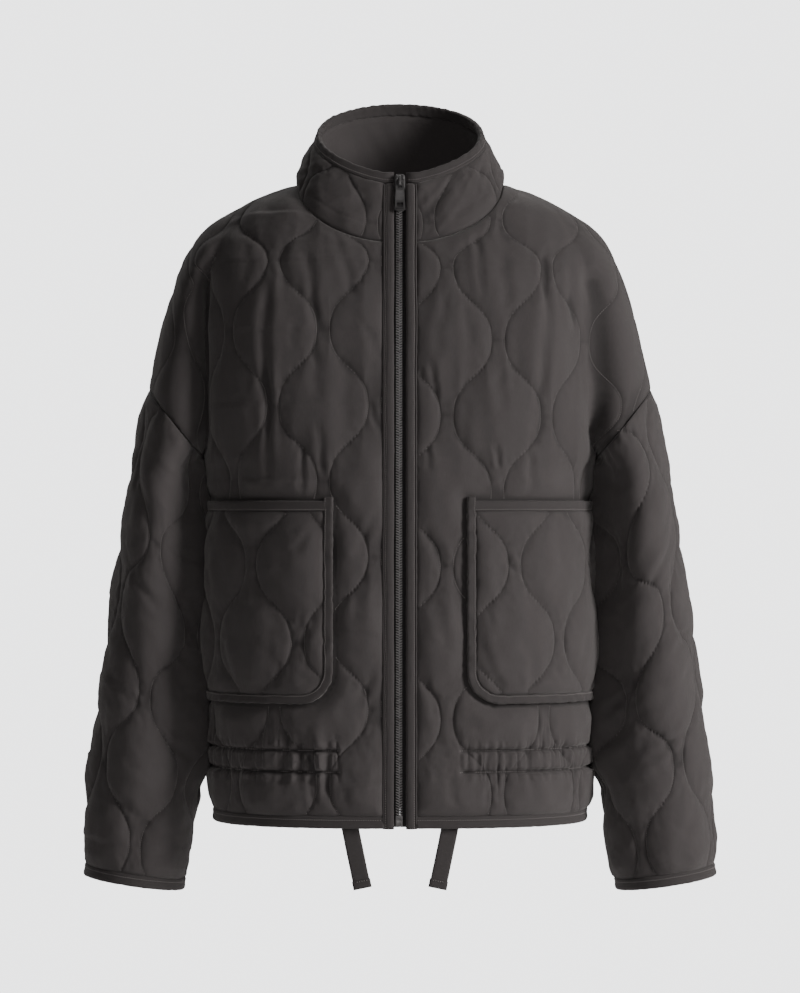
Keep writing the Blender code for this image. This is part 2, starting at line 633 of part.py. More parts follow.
def body_panel(name, form, outline, kinds, quilting, pocket, mirrored):
    crease = crease_points(form)
    folds = fold_lines(form, outline)
    side = float(form.row(form.length, CHANNEL_TOP_Z))
    rows, middle = channel_points(side)
    if form is BACK:
        folds += [[(-u, v) for u, v in fold] for fold in folds]
        rows = [[(-u, z) for u, z in row[::-1]] + [(0.0, row[0][1])] + row for row in rows]
        spread = np.arange(-CHANNEL_FROM + GATHER_PITCH, CHANNEL_FROM, GATHER_PITCH)
        middle = [(-u, z) for u, z in middle] + middle + [(u, middle[0][1]) for u in spread]
    cloth, binding, whole = pocket_outlines()

    def keep(points):
        v = points[:, 1]
        good = inside(points, outline, 6.0)
        near_channel = (v < CHANNEL_TOP_Z + 6) & (v > CHANNEL_LOW_Z - 6)
        near_channel &= (np.abs(points[:, 0]) > CHANNEL_FROM - 8) | (form is BACK)
        good &= ~near_channel
        for fold in folds:
            good &= edge_distance(points, fold + fold[::-1]) > 5.0
        if pocket:
            good &= ~inside(points, whole) & (edge_distance(points, whole) > 6.0)
        return good

    lines = quilting.lines(keep) + rows + folds
    points = quilting.tops(keep) + middle
    if pocket:
        lines += [cloth + cloth[:1], binding + binding[:1]]
        points += [tuple(p) for p in grid_points(cloth, 20.0, 5.0)]
    flat, faces = triangulate(outline, lines, points)
    place = offset_place(form, 0.0)
    height = quilting.height(flat)
    height *= np.clip(edge_distance(flat, outline) / 8, 0, 1) * calm(place(flat), crease)
    in_channel = (flat[:, 1] < CHANNEL_TOP_Z + 5) & (flat[:, 1] > CHANNEL_LOW_Z - 5)
    height = np.where(in_channel, gather(flat), height)
    if pocket:
        under = inside(flat, whole) | (edge_distance(flat, whole) < 5.0)
        height = np.where(under, 0, height)
    outer = offset_place(form, height)(flat)
    inner_points = [tuple(p) for p in grid_points(outline, 26.0, 11.0)]
    inner_points = [p for p in inner_points if min(edge_distance([p], f + f[::-1])[0] for f in folds) > 10]
    inner_flat, inner_faces = triangulate(outline, folds, inner_points)
    inner = offset_place(form, -WALL)(inner_flat)
    for skin, is_outer in ((outer, True), (inner, False)):
        body_edges(kinds, skin, form.side, is_outer)
        clear_of_armhole(skin, len(outline), True)
    vertices, all_faces = wall(outer, faces, inner, inner_faces, len(outline))
    if mirrored:
        vertices = vertices * [-1, 1, 1]
    make(name, vertices, all_faces, CLOTH)
    if pocket:
        suffix = name.split("_")[-1]
        lay_pocket(f"pocket_{suffix}", flat, faces, cloth, pocket, mirrored)
        lay_pocket(f"pocket_binding_{suffix}", flat, faces, binding, None, mirrored)


def lay_pocket(name, front_flat, front_faces, outline, quilting, mirrored):
    under_flat, under_faces = lay_on(front_flat, front_faces, outline)
    rim = len(outline)
    under_flat = under_flat.copy()
    under_flat[:rim] = shrunk(outline, SEAM / 2)
    edge = [tuple(p) for p in under_flat[:rim]]
    if quilting:

        def keep(points):
            return inside(points, edge, 5.0)

        flat, faces = triangulate(edge, quilting.lines(keep), quilting.tops(keep))
        height = quilting.height(flat) * np.clip(edge_distance(flat, edge) / 8, 0, 1)
        height += POCKET_CLEAR + POCKET_WALL
    else:
        flat, faces = triangulate(edge)
        height = np.full(len(flat), POCKET_CLEAR + POCKET_BIND_THICK)
    outer = offset_place(FRONT, height)(flat)
    inner = offset_place(FRONT, POCKET_CLEAR)(under_flat)
    vertices, all_faces = wall(outer, faces, inner, under_faces, rim)
    if mirrored:
        vertices = vertices * [-1, 1, 1]
    make(name, vertices, all_faces, CLOTH if quilting else TRIM)


def back_outline():
    half = [p for p in body_outline(BACK)]
    first = next(i for i, p in enumerate(half) if float(undrape(p[1])) >= NECK_BACK_Z - 0.01)
    half = half[first:] + [(0.0, HEM_Z)]
    kinds = edge_kinds(BACK, [(1e6, 0)] + half)[1:]
    mirror = [(-u, v) for u, v in half[1:-1]][::-1]
    return half + mirror, kinds + kinds[1:-1][::-1]


def build_body():
    outline = body_outline(FRONT)
    kinds = edge_kinds(FRONT, outline)
    wide = float(FRONT.length.max())
    top = 60.0
    left_quilt = Quilting(19.5, -224.0, HEM_Z, top, 0, wide)
    right_quilt = Quilting(-0.3, -214.0, HEM_Z, top, 0, wide)
    left_pocket = Quilting(83.0, -363.0, POCKET_BOTTOM_Z, POCKET_TOP_Z, 60, 270)
    right_pocket = Quilting(71.0, -434.0, POCKET_BOTTOM_Z, POCKET_TOP_Z, 60, 270)
    body_panel("front_left", FRONT, outline, kinds, left_quilt, left_pocket, False)
    body_panel("front_right", FRONT, outline, kinds, right_quilt, right_pocket, True)
    outline, kinds = back_outline()
    back_wide = float(BACK.length.max())
    back_quilt = Quilting(-24.0, -220.0, HEM_Z, top, -back_wide, back_wide)
    body_panel("back", BACK, outline, kinds, back_quilt, None, False)


# ---- Sleeves: an oval tube, cut on the slant of the armhole at the top and nearly level at the cuff ----
def arm_at(column, z):
    return smooth_table(ARM, column, z)


def sleeve_point(share, side, t, low=0.0):
    """share 0 on the outside of the arm to 1 on the inside; side -1 front, +1 back; t is the distance down."""
    along = t / SLEEVE_LENGTH
    outer_z = ARMHOLE_TOP_Z + (CUFF_OUTER_Z - ARMHOLE_TOP_Z) * along
    inner_z = UNDERARM_Z + (CUFF_INNER_Z - UNDERARM_Z) * along
    middle_z = (outer_z + inner_z) / 2
    wide = (arm_at("outer", middle_z) - arm_at("inner", middle_z)) / 2
    deep = arm_at("deep", middle_z)
    turn = np.linspace(0, math.pi, 65)
    steps = np.hypot(wide[:, None] * np.diff(np.cos(turn)), deep[:, None] * np.diff(np.sin(turn)))
    length = np.concatenate([np.zeros((len(wide), 1)), np.cumsum(steps, axis=1)], 1)
    length /= length[:, -1:]
    i = np.clip((length[:, None] <= share[:, None, None]).sum(2)[:, 0] - 1, 0, 63)
    pick = np.arange(len(share))
    part = (share - length[pick, i]) / (length[pick, i + 1] - length[pick, i])
    angle = turn[i] + part * (turn[1] - turn[0])
    z = outer_z + (inner_z - outer_z) * (1 - np.cos(angle)) / 2
    x = (arm_at("outer", z) + arm_at("inner", z)) / 2
    x += (arm_at("outer", z) - arm_at("inner", z)) / 2 * np.cos(angle)
    y = side * arm_at("deep", z) * np.sin(angle) - arm_at("forward", z)
    return np.stack([x, y, z], 1)


def sleeve_place(flat):
    share = np.clip(np.abs(flat[:, 0]) / (SLEEVE_GIRTH / 2), 0, 1)
    return sleeve_point(share, np.where(flat[:, 0] < 0, -1, 1), -flat[:, 1])


def sleeve_offset(flat, distance):
    limit = SLEEVE_GIRTH / 2 - 0.6
    probe = np.stack([np.clip(flat[:, 0], -limit, limit), flat[:, 1]], 1)
    normal = normals_of(sleeve_place, probe)
    z = sleeve_place(probe)[:, 2]
    axis = np.stack([(arm_at("outer", z) + arm_at("inner", z)) / 2, -arm_at("forward", z), z], 1)
    normal *= np.sign(((sleeve_place(probe) - axis) * normal).sum(1, keepdims=True))
    return sleeve_place(flat) + normal * np.reshape(distance, (-1, 1))


CUFF_RISE = (CUFF_OUTER_Z - CUFF_INNER_Z) / (300.0 - 207.0)
CUFF_NORMAL = np.array([-CUFF_RISE, 0, 1]) / math.hypot(CUFF_RISE, 1)
CUFF_POINT = np.array([300.0, 0, CUFF_OUTER_Z])


def sleeve_edges(kinds, points, outer):
    for i, kind in enumerate(kinds):
        if "armhole" in kind and "seam" in kind:
            points[i] = underarm_corner(1, 1 if "back" in kind else -1, outer, -SEAM / 2)
            continue
        if "armhole" in kind:
            points[i] -= ARMHOLE_NORMAL * (SEAM / 2 + (points[i] - ARMHOLE_POINT) @ ARMHOLE_NORMAL)
        if "cuff" in kind:
            points[i] -= CUFF_NORMAL * ((points[i] - CUFF_POINT) @ CUFF_NORMAL)
        if "seam" in kind:
            middle = -float(arm_at("forward", points[i, 2]))
            points[i, 1] = middle + (SEAM / 2) * (1 if "back" in kind else -1)
    return points


def build_sleeve(name, quilting, mirrored):
    half = SLEEVE_GIRTH / 2
    top = [(a, 0.0) for a in spaced(-half, half, 16.0)]
    right = [(half, t) for t in spaced(0.0, -SLEEVE_LENGTH)]
    low = [(a, -SLEEVE_LENGTH) for a in spaced(half, -half, 16.0)]
    left = [(-half, t) for t in spaced(-SLEEVE_LENGTH, 0.0)]
    outline = top + right + low + left
    kinds = ["armhole"] * len(top) + ["back seam"] * len(right) + ["cuff"] * len(low) + ["front seam"] * len(left)
    kinds[0], kinds[len(top)] = "armhole front seam", "armhole back seam"
    kinds[len(top) + len(right)] = "cuff back seam"
    kinds[len(top) + len(right) + len(low)] = "cuff front seam"

    def keep(points):
        return inside(points, outline, 6.0)

    flat, faces = triangulate(outline, quilting.lines(keep), quilting.tops(keep))
    height = quilting.height(flat) * np.clip(edge_distance(flat, outline) / 8, 0, 1)
    height *= calm(sleeve_place(flat), crease_points(FRONT)) * calm(sleeve_place(flat), crease_points(BACK))
    outer = sleeve_offset(flat, height)
    edges = [[(a, t) for t in np.arange(-18.0, -SLEEVE_LENGTH + 10, -18.0)] for a in (-104, -86, 86, 104)]
    rest = [tuple(p) for p in grid_points(outline, 24.0, 11.0) if abs(abs(p[0]) - 95) > 18]
    inner_flat, inner_faces = triangulate(outline, edges, rest)
    inner = sleeve_offset(inner_flat, np.full(len(inner_flat), -WALL))
    for skin, is_outer in ((outer, True), (inner, False)):
        sleeve_edges(kinds, skin, is_outer)
        clear_of_armhole(skin, len(outline), False)
    vertices, all_faces = wall(outer, faces, inner, inner_faces, len(outline))
    if mirrored:
        vertices = vertices * [-1, 1, 1]
    make(name, vertices, all_faces, CLOTH)


# ---- Strips: a profile carried along a path ----
def sweep(name, path, outward, across, profile, colour, closed=False, mirrored=False, rough=0.8, metallic=0.0):
    """profile holds (across, out) pairs round the section."""
    path, outward, across = (np.asarray(a, float) for a in (path, outward, across))
    rings = [path + across * a + outward * o for a, o in profile]
    vertices = np.stack(rings, 1).reshape(-1, 3)
    n, m = len(path), len(profile)
    faces = []
    for i in range(n if closed else n - 1):
        for j in range(m):
            a, b = i * m + j, i * m + (j + 1) % m
            c, d = ((i + 1) % n) * m + (j + 1) % m, ((i + 1) % n) * m + j
            faces.append((a, b, c, d))
    if not closed:
        faces += [tuple(range(m))[::-1], tuple((n - 1) * m + j for j in range(m))]
    if mirrored:
        vertices = vertices * [-1, 1, 1]
    return make(name, vertices, faces, colour, rough, metallic)


def rounded_strip(width, low, high, curve=1.8):
    """A strip's section: `width` across from 0, between the depths low and high, with eased outer corners."""
    return [
        (0, low), (0, high - curve), (curve, high), (width - curve, high),
        (width, high - curve), (width, low + curve), (width - curve, low), (curve, low),
    ]


def unit(v):
    return v / np.linalg.norm(v, axis=-1, keepdims=True)


def level_normals(path, ends_open=True):
    """Outward directions of a level loop's points, square to the path."""
    step = np.gradient(path, axis=0) if ends_open else np.roll(path, -1, 0) - np.roll(path, 1, 0)
    normal = unit(np.stack([step[:, 1], -step[:, 0], 0 * step[:, 0]], 1))
    away = path - path.mean(0)
    return normal * np.sign((normal * away).sum(1, keepdims=True))


def build_hem_binding():
    right = [float(FRONT.u_at_x(EDGE_X, HEM_Z))]
    front_u = np.linspace(right[0], float(FRONT.row(FRONT.length, HEM_Z)), 13)
    back_u = np.linspace(float(BACK.row(BACK.length, HEM_Z)), 0, 13)
    front = FRONT.place(front_u, np.full(13, HEM_Z))[:-1]
    front[0, 0] = EDGE_X
    back = BACK.place(back_u, np.full(13, HEM_Z))[1:]
    half = np.concatenate([front, back])
    path = np.concatenate([half, half[:-1][::-1] * [-1, 1, 1]])
    path[:, 2] = HEM_Z - SEAM
    normal = level_normals(path)
    normal[0], normal[-1] = [0, -1, 0], [0, -1, 0]
    down = np.tile([0, 0, -1.0], (len(path), 1))
    sweep("hem_binding", path, normal, down, rounded_strip(BIND, -BIND_IN, BIND_OUT), TRIM)


def build_cuff_binding(name, mirrored):
    half = SLEEVE_GIRTH / 2
    a = np.array(spaced(-half, half, 13.0))
    path = sleeve_place(np.stack([a, a * 0 - SLEEVE_LENGTH], 1))
    path -= ((path - CUFF_POINT) @ CUFF_NORMAL)[:, None] * CUFF_NORMAL + CUFF_NORMAL * SEAM
    step = np.roll(path, -1, 0) - np.roll(path, 1, 0)
    normal = unit(np.cross(step, CUFF_NORMAL))
    normal *= np.sign((normal * (path - path.mean(0))).sum(1, keepdims=True))
    down = np.tile(-CUFF_NORMAL, (len(path), 1))
    sweep(name, path, normal, down, rounded_strip(BIND, -BIND_IN, BIND_OUT), TRIM, True, mirrored)


# ---- Collar: stands on the neckline, and leans in towards its top edge ----
COLLAR_TOP = dict(half=78.0, middle_y=-5.0, deep=63.0, front_z=5.0, rise=78.0, curve=0.8)
COLLAR_HEIGHT = 70.0  # of its flat outline


def neck_half():
    """Neckline from the front edge to the middle of the back: outer edge, inner edge, and the way on from them."""
    rows = []
    for form in (FRONT, BACK):
        flat = np.array([(u, float(drape(z))) for u, z in neckline(form)])
        outer = offset_place(form, 0.0)(flat)
        inner = offset_place(form, np.full(len(flat), -WALL))(flat)
        if form is FRONT:
            outer[0, 0] = inner[0, 0] = EDGE_X
        outer[-1, 1] = inner[-1, 1] = 0
        rows.append((outer, inner))
    (front_out, front_in), (back_out, back_in) = rows
    outer = np.concatenate([front_out, back_out[:-1][::-1]])
    inner = np.concatenate([front_in, back_in[:-1][::-1]])
    outer[-1, 0] = inner[-1, 0] = 0
    tangent = unit(np.gradient(outer, axis=0))
    onward = unit(np.cross(tangent, outer - inner))
    onward *= np.sign(onward[:, 2:] + 1e-9)
    onward[0, 0] = onward[-1, 0] = 0
    return outer, inner, onward


def top_half(shares):
    """Points of the collar's top edge at shares of the way from the front edge to the middle of the back."""
    angle = np.linspace(-math.acos(EDGE_X / COLLAR_TOP["half"]), math.pi / 2, 400)
    x = COLLAR_TOP["half"] * np.cos(angle)
    y = COLLAR_TOP["middle_y"] + COLLAR_TOP["deep"] * np.sin(angle)
    z = COLLAR_TOP["front_z"] + COLLAR_TOP["rise"] * ((1 + np.sin(angle)) / 2) ** COLLAR_TOP["curve"]
    path = np.stack([x, y, z], 1)
    along = distance_along(path)
    return np.stack([np.interp(np.asarray(shares) * along[-1], along, path[:, k]) for k in range(3)], 1)


NECK_OUT, NECK_IN, NECK_ON = neck_half()
NECK_ALONG = distance_along(NECK_OUT)
NECK_LENGTH = float(NECK_ALONG[-1])
NECK_TOP = top_half(NECK_ALONG / NECK_LENGTH)
NECK_UP = unit(NECK_TOP - NECK_OUT)
COLLAR_EDGE = NECK_TOP - NECK_UP * (BIND + SEAM)  # where the collar's cloth ends


def collar_rows(table, a):
    """A column of neckline values at signed distances a from the middle of the back."""
    at = NECK_LENGTH - np.abs(a)
    value = np.stack([np.interp(at, NECK_ALONG, table[:, k]) for k in range(3)], 1)
    value[:, 0] *= np.where(a < 0, -1, 1)
    return value


def collar_place(flat):
    a, b = flat[:, 0], flat[:, 1]
    low = collar_rows(NECK_OUT + NECK_ON * SEAM, a)
    return low + (collar_rows(COLLAR_EDGE, a) - low) * (b / COLLAR_HEIGHT)[:, None]


def collar_normal(flat):
    a = np.clip(flat[:, 0], -NECK_LENGTH + 3, NECK_LENGTH - 3)
    step = 3.0
    across = collar_place(np.stack([a + step, flat[:, 1]], 1)) - collar_place(np.stack([a - step, flat[:, 1]], 1))
    rise = collar_place(np.stack([a, a * 0 + COLLAR_HEIGHT], 1)) - collar_place(np.stack([a, a * 0], 1))
    normal = unit(np.cross(across, rise))
    away = collar_place(flat) * [1, 1, 0]
    normal = normal * np.sign((normal * away).sum(1, keepdims=True))
    normal[np.abs(flat[:, 0]) > NECK_LENGTH - 0.1, 0] = 0
    return unit(normal)


def build_collar():
    a = [float(v) for v in NECK_LENGTH - NECK_ALONG]
    base = a[:-1] + [0.0] + [-v for v in a[:-1][::-1]]
    top_a = base[::-1]
    edge = spaced(0.0, COLLAR_HEIGHT, 14.0)[1:]
    outline = [(v, 0.0) for v in base]
    outline += [(-NECK_LENGTH, b) for b in edge]
    outline += [(v, COLLAR_HEIGHT) for v in top_a]
    outline += [(NECK_LENGTH, b) for b in edge[::-1]]

    def keep(points):
        return inside(points, outline, 6.0)

    quilting = Quilting(-24.0, 20.0, 0, COLLAR_HEIGHT, -NECK_LENGTH, NECK_LENGTH)
    flat, faces = triangulate(outline, quilting.lines(keep), quilting.tops(keep))
    height = 0.7 * quilting.height(flat) * np.clip(edge_distance(flat, outline) / 8, 0, 1)
    outer = collar_place(flat) + collar_normal(flat) * height[:, None]
    inner_points = [tuple(p) for p in grid_points(outline, 22.0, 9.0)]
    inner_flat, inner_faces = triangulate(outline, (), inner_points)
    inner = collar_place(inner_flat) - collar_normal(inner_flat) * WALL
    count = len(base)
    inner[:count] = collar_rows(NECK_IN + NECK_ON * SEAM, np.array(base))
    vertices, all_faces = wall(outer, faces, inner, inner_faces, len(outline))
    make("collar", vertices, all_faces, CLOTH)

    a = np.array(top_a)
    path = collar_rows(COLLAR_EDGE + NECK_UP * 2 * SEAM, a)
    up = unit(collar_rows(NECK_UP, a))
    normal = collar_normal(np.stack([a, a * 0 + COLLAR_HEIGHT], 1))
    ends = path[[0, -1]].copy()
    ends[:, 0] = np.sign(ends[:, 0]) * BINDING_X
    path = np.concatenate([ends[:1], path, ends[1:]])
    up, normal = (np.concatenate([v[:1], v, v[-1:]]) for v in (up, normal))
    sweep("collar_binding", path, normal, up, rounded_strip(BIND, -BIND_IN, BIND_OUT), TRIM)


# ---- Front edge: bindings, zip ----
BINDING_X = 5.7
CHAIN_HALF = 3.4
FRONT_BIND_OUT, FRONT_BIND_IN = 2.5, 3.0
TAPE_IN, TAPE_THICK = 3.3, 1.0
SLIDER_Z = -4.0
SLIDER_HALF_LENGTH, SLIDER_HALF_WIDTH = 8.5, 4.8
SLIDER_FRONT, SLIDER_BACK = 3.6, -5.4
PIVOT_UP, PIVOT_OUT = 0.0, 5.2
BRIDGE = dict(low=-4.5, top=5.5, out=8.2, bar=1.3, half=1.1)
PULL_THICK = 1.6
TIE_WIDE, TIE_THICK = 16.0, 1.2


def front_line(heights):
    """The front edge of the cloth at x = EDGE_X, from the hem up over the neck seam to the collar's top."""
    heights = np.asarray(heights, float)
    u = np.array([FRONT.u_at_x(EDGE_X, min(z, NECK_OUT[0, 2])) for z in heights])
    body = FRONT.place(u, np.minimum(heights, NECK_OUT[0, 2]))
    low, high = NECK_OUT[0], COLLAR_EDGE[0]
    share = np.clip((heights - low[2]) / (high[2] - low[2]), 0, 1.3)
    y = np.where(share > 0, low[1] + (high[1] - low[1]) * share, body[:, 1])
    return np.stack([0 * y, y, heights], 1)


def front_frame(heights):
    path = front_line(heights)
    step = unit(front_line(np.asarray(heights) + 2.0) - front_line(np.asarray(heights) - 2.0))
    return path, np.stack([0 * step[:, 0], -step[:, 2], step[:, 1]], 1)


def along_front(low, high, step=34.0):
    neck = NECK_OUT[0, 2]
    below = spaced(low, neck - 8, step)
    return below + [neck - 8, neck, neck + 8] + [z for z in spaced(neck + 22, high, 16.0)] + [high]


def build_front_edge():
    bottom = HEM_Z - SEAM - BIND
    heights = along_front(bottom, float(COLLAR_EDGE[0, 2]) - SEAM)
    path, out = front_frame(heights)
    inward = np.tile([-1.0, 0, 0], (len(path), 1))
    profile = rounded_strip(EDGE_X - SEAM - BINDING_X, -FRONT_BIND_IN, FRONT_BIND_OUT, 2.4)
    for name, mirrored in (("front_binding_left", False), ("front_binding_right", True)):
        sweep(name, path + [EDGE_X - SEAM, 0, 0], out, inward, profile, TRIM, mirrored=mirrored)
    stop = SLIDER_Z - SLIDER_HALF_LENGTH - SEAM
    path, out = front_frame(along_front(bottom + 1, stop))
    inward = inward[: len(path)] if len(path) <= len(inward) else np.tile([-1.0, 0, 0], (len(path), 1))
    low, high = -TAPE_IN - TAPE_THICK, -TAPE_IN
    wide = EDGE_X - 0.5 - CHAIN_HALF - SEAM
    tape = [(0, low), (0, high), (wide, high), (wide, low)]
    for name, mirrored in (("zip_tape_left", False), ("zip_tape_right", True)):
        sweep(name, path + [EDGE_X - 0.5, 0, 0], out, inward, tape, TRIM, mirrored=mirrored)
    h = CHAIN_HALF
    chain = [(-h, low), (-h, -0.4), (-h + 1, 0.5), (h - 1, 0.5), (h, -0.4), (h, low)]
    sweep("zip_chain", path, out, inward, chain, METAL, rough=0.5)
    build_slider()


def slider_frame():
    """Where the slider sits, the way up along the zip, and the way out from the cloth."""
    path, out = front_frame([SLIDER_Z - 6, SLIDER_Z])
    up = unit(path[1] - path[0])
    return path[1], up, np.array([0, -up[2], up[1]])


def on_slider(points):
    """(x, up, out) from the slider's middle to space."""
    at, up, out = slider_frame()
    p = np.asarray(points, float)
    return at + p[:, :1] * [1, 0, 0] + p[:, 1:2] * up + p[:, 2:] * out


def prism(outline, low, high, axis):
    """A flat outline carried between two levels: axis "out" has (x, up) outlines, axis "x" has (up, out)."""
    n = len(outline)
    rows = [(a, b, c) if axis == "out" else (c, a, b) for c in (low, high) for a, b in outline]
    faces = [(i, (i + 1) % n, n + (i + 1) % n, n + i) for i in range(n)]
    return rows, faces + [tuple(range(n))[::-1], tuple(range(n, 2 * n))]


def build_slider():
    w, h = SLIDER_HALF_WIDTH, SLIDER_HALF_LENGTH
    plate = [(-w * 0.8, -h), (w * 0.8, -h), (w * 0.86, -2), (w, 2), (w, h - 3.4)]
    plate += [(w * math.cos(t), h - 3.4 + 3.4 * math.sin(t)) for t in np.linspace(0, math.pi, 9)[1:-1]]
    plate += [(-w, h - 3.4), (-w, 2), (-w * 0.86, -2)]
    rows, faces = prism(plate, SLIDER_BACK, SLIDER_FRONT, "out")
    slider = make("zip_slider", on_slider(rows), faces, METAL, 0.45, 1.0)
    low, top, out, bar = (BRIDGE[k] for k in ("low", "top", "out", "bar"))
    foot = SLIDER_FRONT - 1.0
    arch = [(low, foot), (low, out - 1.2), (low + 1.2, out), (top - 1.2, out), (top, out - 1.2), (top, foot)]
    arch += [(top - bar, foot), (top - bar, out - bar), (low + bar, out - bar), (low + bar, foot)]
    rows, faces = prism(arch, -BRIDGE["half"], BRIDGE["half"], "x")
    bridge = make("slider_bridge", on_slider(rows), faces, METAL)
    bridge.hide_render = True
    join = slider.modifiers.new("bridge", "BOOLEAN")
    join.operation = "UNION"
    join.solver = "EXACT"
    join.object = bridge

    ups = [1.1, -1.1, -7.4, -19.5, -24.8, -27.0]
    halves = [3.4, 3.5, 3.9, 4.7, 5.1, 5.0]
    holes = [1.9, 1.9, 2.0, 2.9, 3.1, 2.8]
    open_cells = {(1, 1), (3, 1)}
    low, high = PIVOT_OUT - PULL_THICK / 2, PIVOT_OUT + PULL_THICK / 2
    rows = []
    for level in (low, high):
        for up, half, hole in zip(ups, halves, holes):
            rows += [(x, PIVOT_UP + up, level) for x in (-half, -hole, hole, half)]
    size = len(rows) // 2
    faces, edge_use = [], {}
    for r in range(5):
        for c in range(3):
            if (r, c) in open_cells:
                continue
            cell = (r * 4 + c, r * 4 + c + 1, (r + 1) * 4 + c + 1, (r + 1) * 4 + c)
            faces += [cell, tuple(i + size for i in cell[::-1])]
            for i, j in zip(cell, cell[1:] + cell[:1]):
                edge_use.setdefault(frozenset((i, j)), []).append((i, j))
    faces += [(j, i, i + size, j + size) for (i, j), *more in edge_use.values() if not more]
    make("zip_pull", on_slider(rows), faces, METAL, 0.45, 1.0)


# ---- Ends of the drawcord: flat tape, hanging inside the hem and out below it ----
def build_tie(name, mirrored):
    knots = [
        dict(z=-540.0, x=57.5, behind=3.4),
        dict(z=-570.0, x=53.0, behind=3.5),
        dict(z=-589.0, x=50.0, behind=4.9),
        dict(z=-608.0, x=46.5, behind=5.0),
        dict(z=-663.0, x=35.0, behind=5.0),
    ]
    heights = np.linspace(knots[0]["z"], knots[-1]["z"], 11)
    x, behind = smooth_table(knots, "x", heights), smooth_table(knots, "behind", heights)
    held = np.maximum(heights, HEM_Z)
    u = np.array([FRONT.u_at_x(v, z) for v, z in zip(x, held)])
    out = normals_of(lambda flat: FRONT.place(flat[:, 0], flat[:, 1]), np.stack([u, np.maximum(held, HEM_Z + 1)], 1))
    out = unit(out * [1, 1, 0])
    path = FRONT.place(u, held) - out * behind[:, None]
    path[:, 2] = heights
    step = unit(np.gradient(path, axis=0))
    across = unit(np.cross(out, step))
    half = TIE_WIDE / 2
    profile = [(-half, -TIE_THICK), (-half, 0), (0, 0), (half, 0), (half, -TIE_THICK), (0, -TIE_THICK)]
    sweep(name, path, out, across, profile, TRIM, mirrored=mirrored)



for old in list(bpy.data.objects):
    bpy.data.objects.remove(old)
build_body()
build_sleeve("sleeve_left", Quilting(-146.0, -113.0, -SLEEVE_LENGTH, 0, -190, 190, 144.0), False)
build_sleeve("sleeve_right", Quilting(-119.0, -113.0, -SLEEVE_LENGTH, 0, -190, 190, 144.0), True)
build_hem_binding()
build_cuff_binding("cuff_binding_left", False)
build_cuff_binding("cuff_binding_right", True)
build_collar()
build_front_edge()
build_tie("tie_left", False)
build_tie("tie_right", True)
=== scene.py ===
# %% [markdown]
# A quilted zip jacket, filled out as if worn, with nobody in it. Lengths are millimetres, as a pattern cutter
# writes them, and MM turns them into metres. +Z is up, +X is the viewer's right, the front faces -Y, and the
# origin is in the middle of the neck.

# %% Loading the frame
import functools
import math

import bmesh
import bpy
import numpy as np
from mathutils import Matrix, Vector, noise
from mathutils.bvhtree import BVHTree
from mathutils.geometry import delaunay_2d_cdt
from mathutils.kdtree import KDTree


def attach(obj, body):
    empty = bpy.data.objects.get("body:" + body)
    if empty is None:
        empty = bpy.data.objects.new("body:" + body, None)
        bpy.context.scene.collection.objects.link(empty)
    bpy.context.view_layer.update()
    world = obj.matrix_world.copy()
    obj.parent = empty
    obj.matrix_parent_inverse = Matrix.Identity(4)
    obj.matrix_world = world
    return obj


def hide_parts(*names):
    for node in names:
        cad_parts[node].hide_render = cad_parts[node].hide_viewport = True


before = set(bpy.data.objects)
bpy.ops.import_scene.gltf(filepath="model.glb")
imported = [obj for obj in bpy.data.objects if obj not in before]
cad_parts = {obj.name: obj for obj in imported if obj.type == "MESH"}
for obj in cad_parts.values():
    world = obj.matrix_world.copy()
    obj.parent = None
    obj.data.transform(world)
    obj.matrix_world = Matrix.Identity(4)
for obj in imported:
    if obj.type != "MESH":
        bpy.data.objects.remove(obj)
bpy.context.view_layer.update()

MM = 0.001

# %% [markdown]
# The camera stands level with the jacket's middle, four metres off, with a long lens, as garments are shown:
# straight on, with hardly any perspective.

# %% Camera
CAMERA_AWAY, CAMERA_HEIGHT, VIEW_HEIGHT = 4.0, -0.299, 0.9533
SENSOR = 36.0


def new_object(name, data):
    made = bpy.data.objects.new(name, data)
    bpy.context.collection.objects.link(made)
    return made


lens = bpy.data.cameras.new("camera")
lens.sensor_width = SENSOR
lens.lens = SENSOR * CAMERA_AWAY / VIEW_HEIGHT
camera = new_object("camera", lens)
camera.location = (0, -CAMERA_AWAY, CAMERA_HEIGHT)
camera.rotation_euler = (math.pi / 2, 0, 0)
bpy.context.scene.camera = camera
print("lens:", round(lens.lens, 2))

# %% [markdown]
# Materials are built from nodes. They could be added and linked one by one, but a small class that writes the
# maths as plain sums keeps every finish readable.

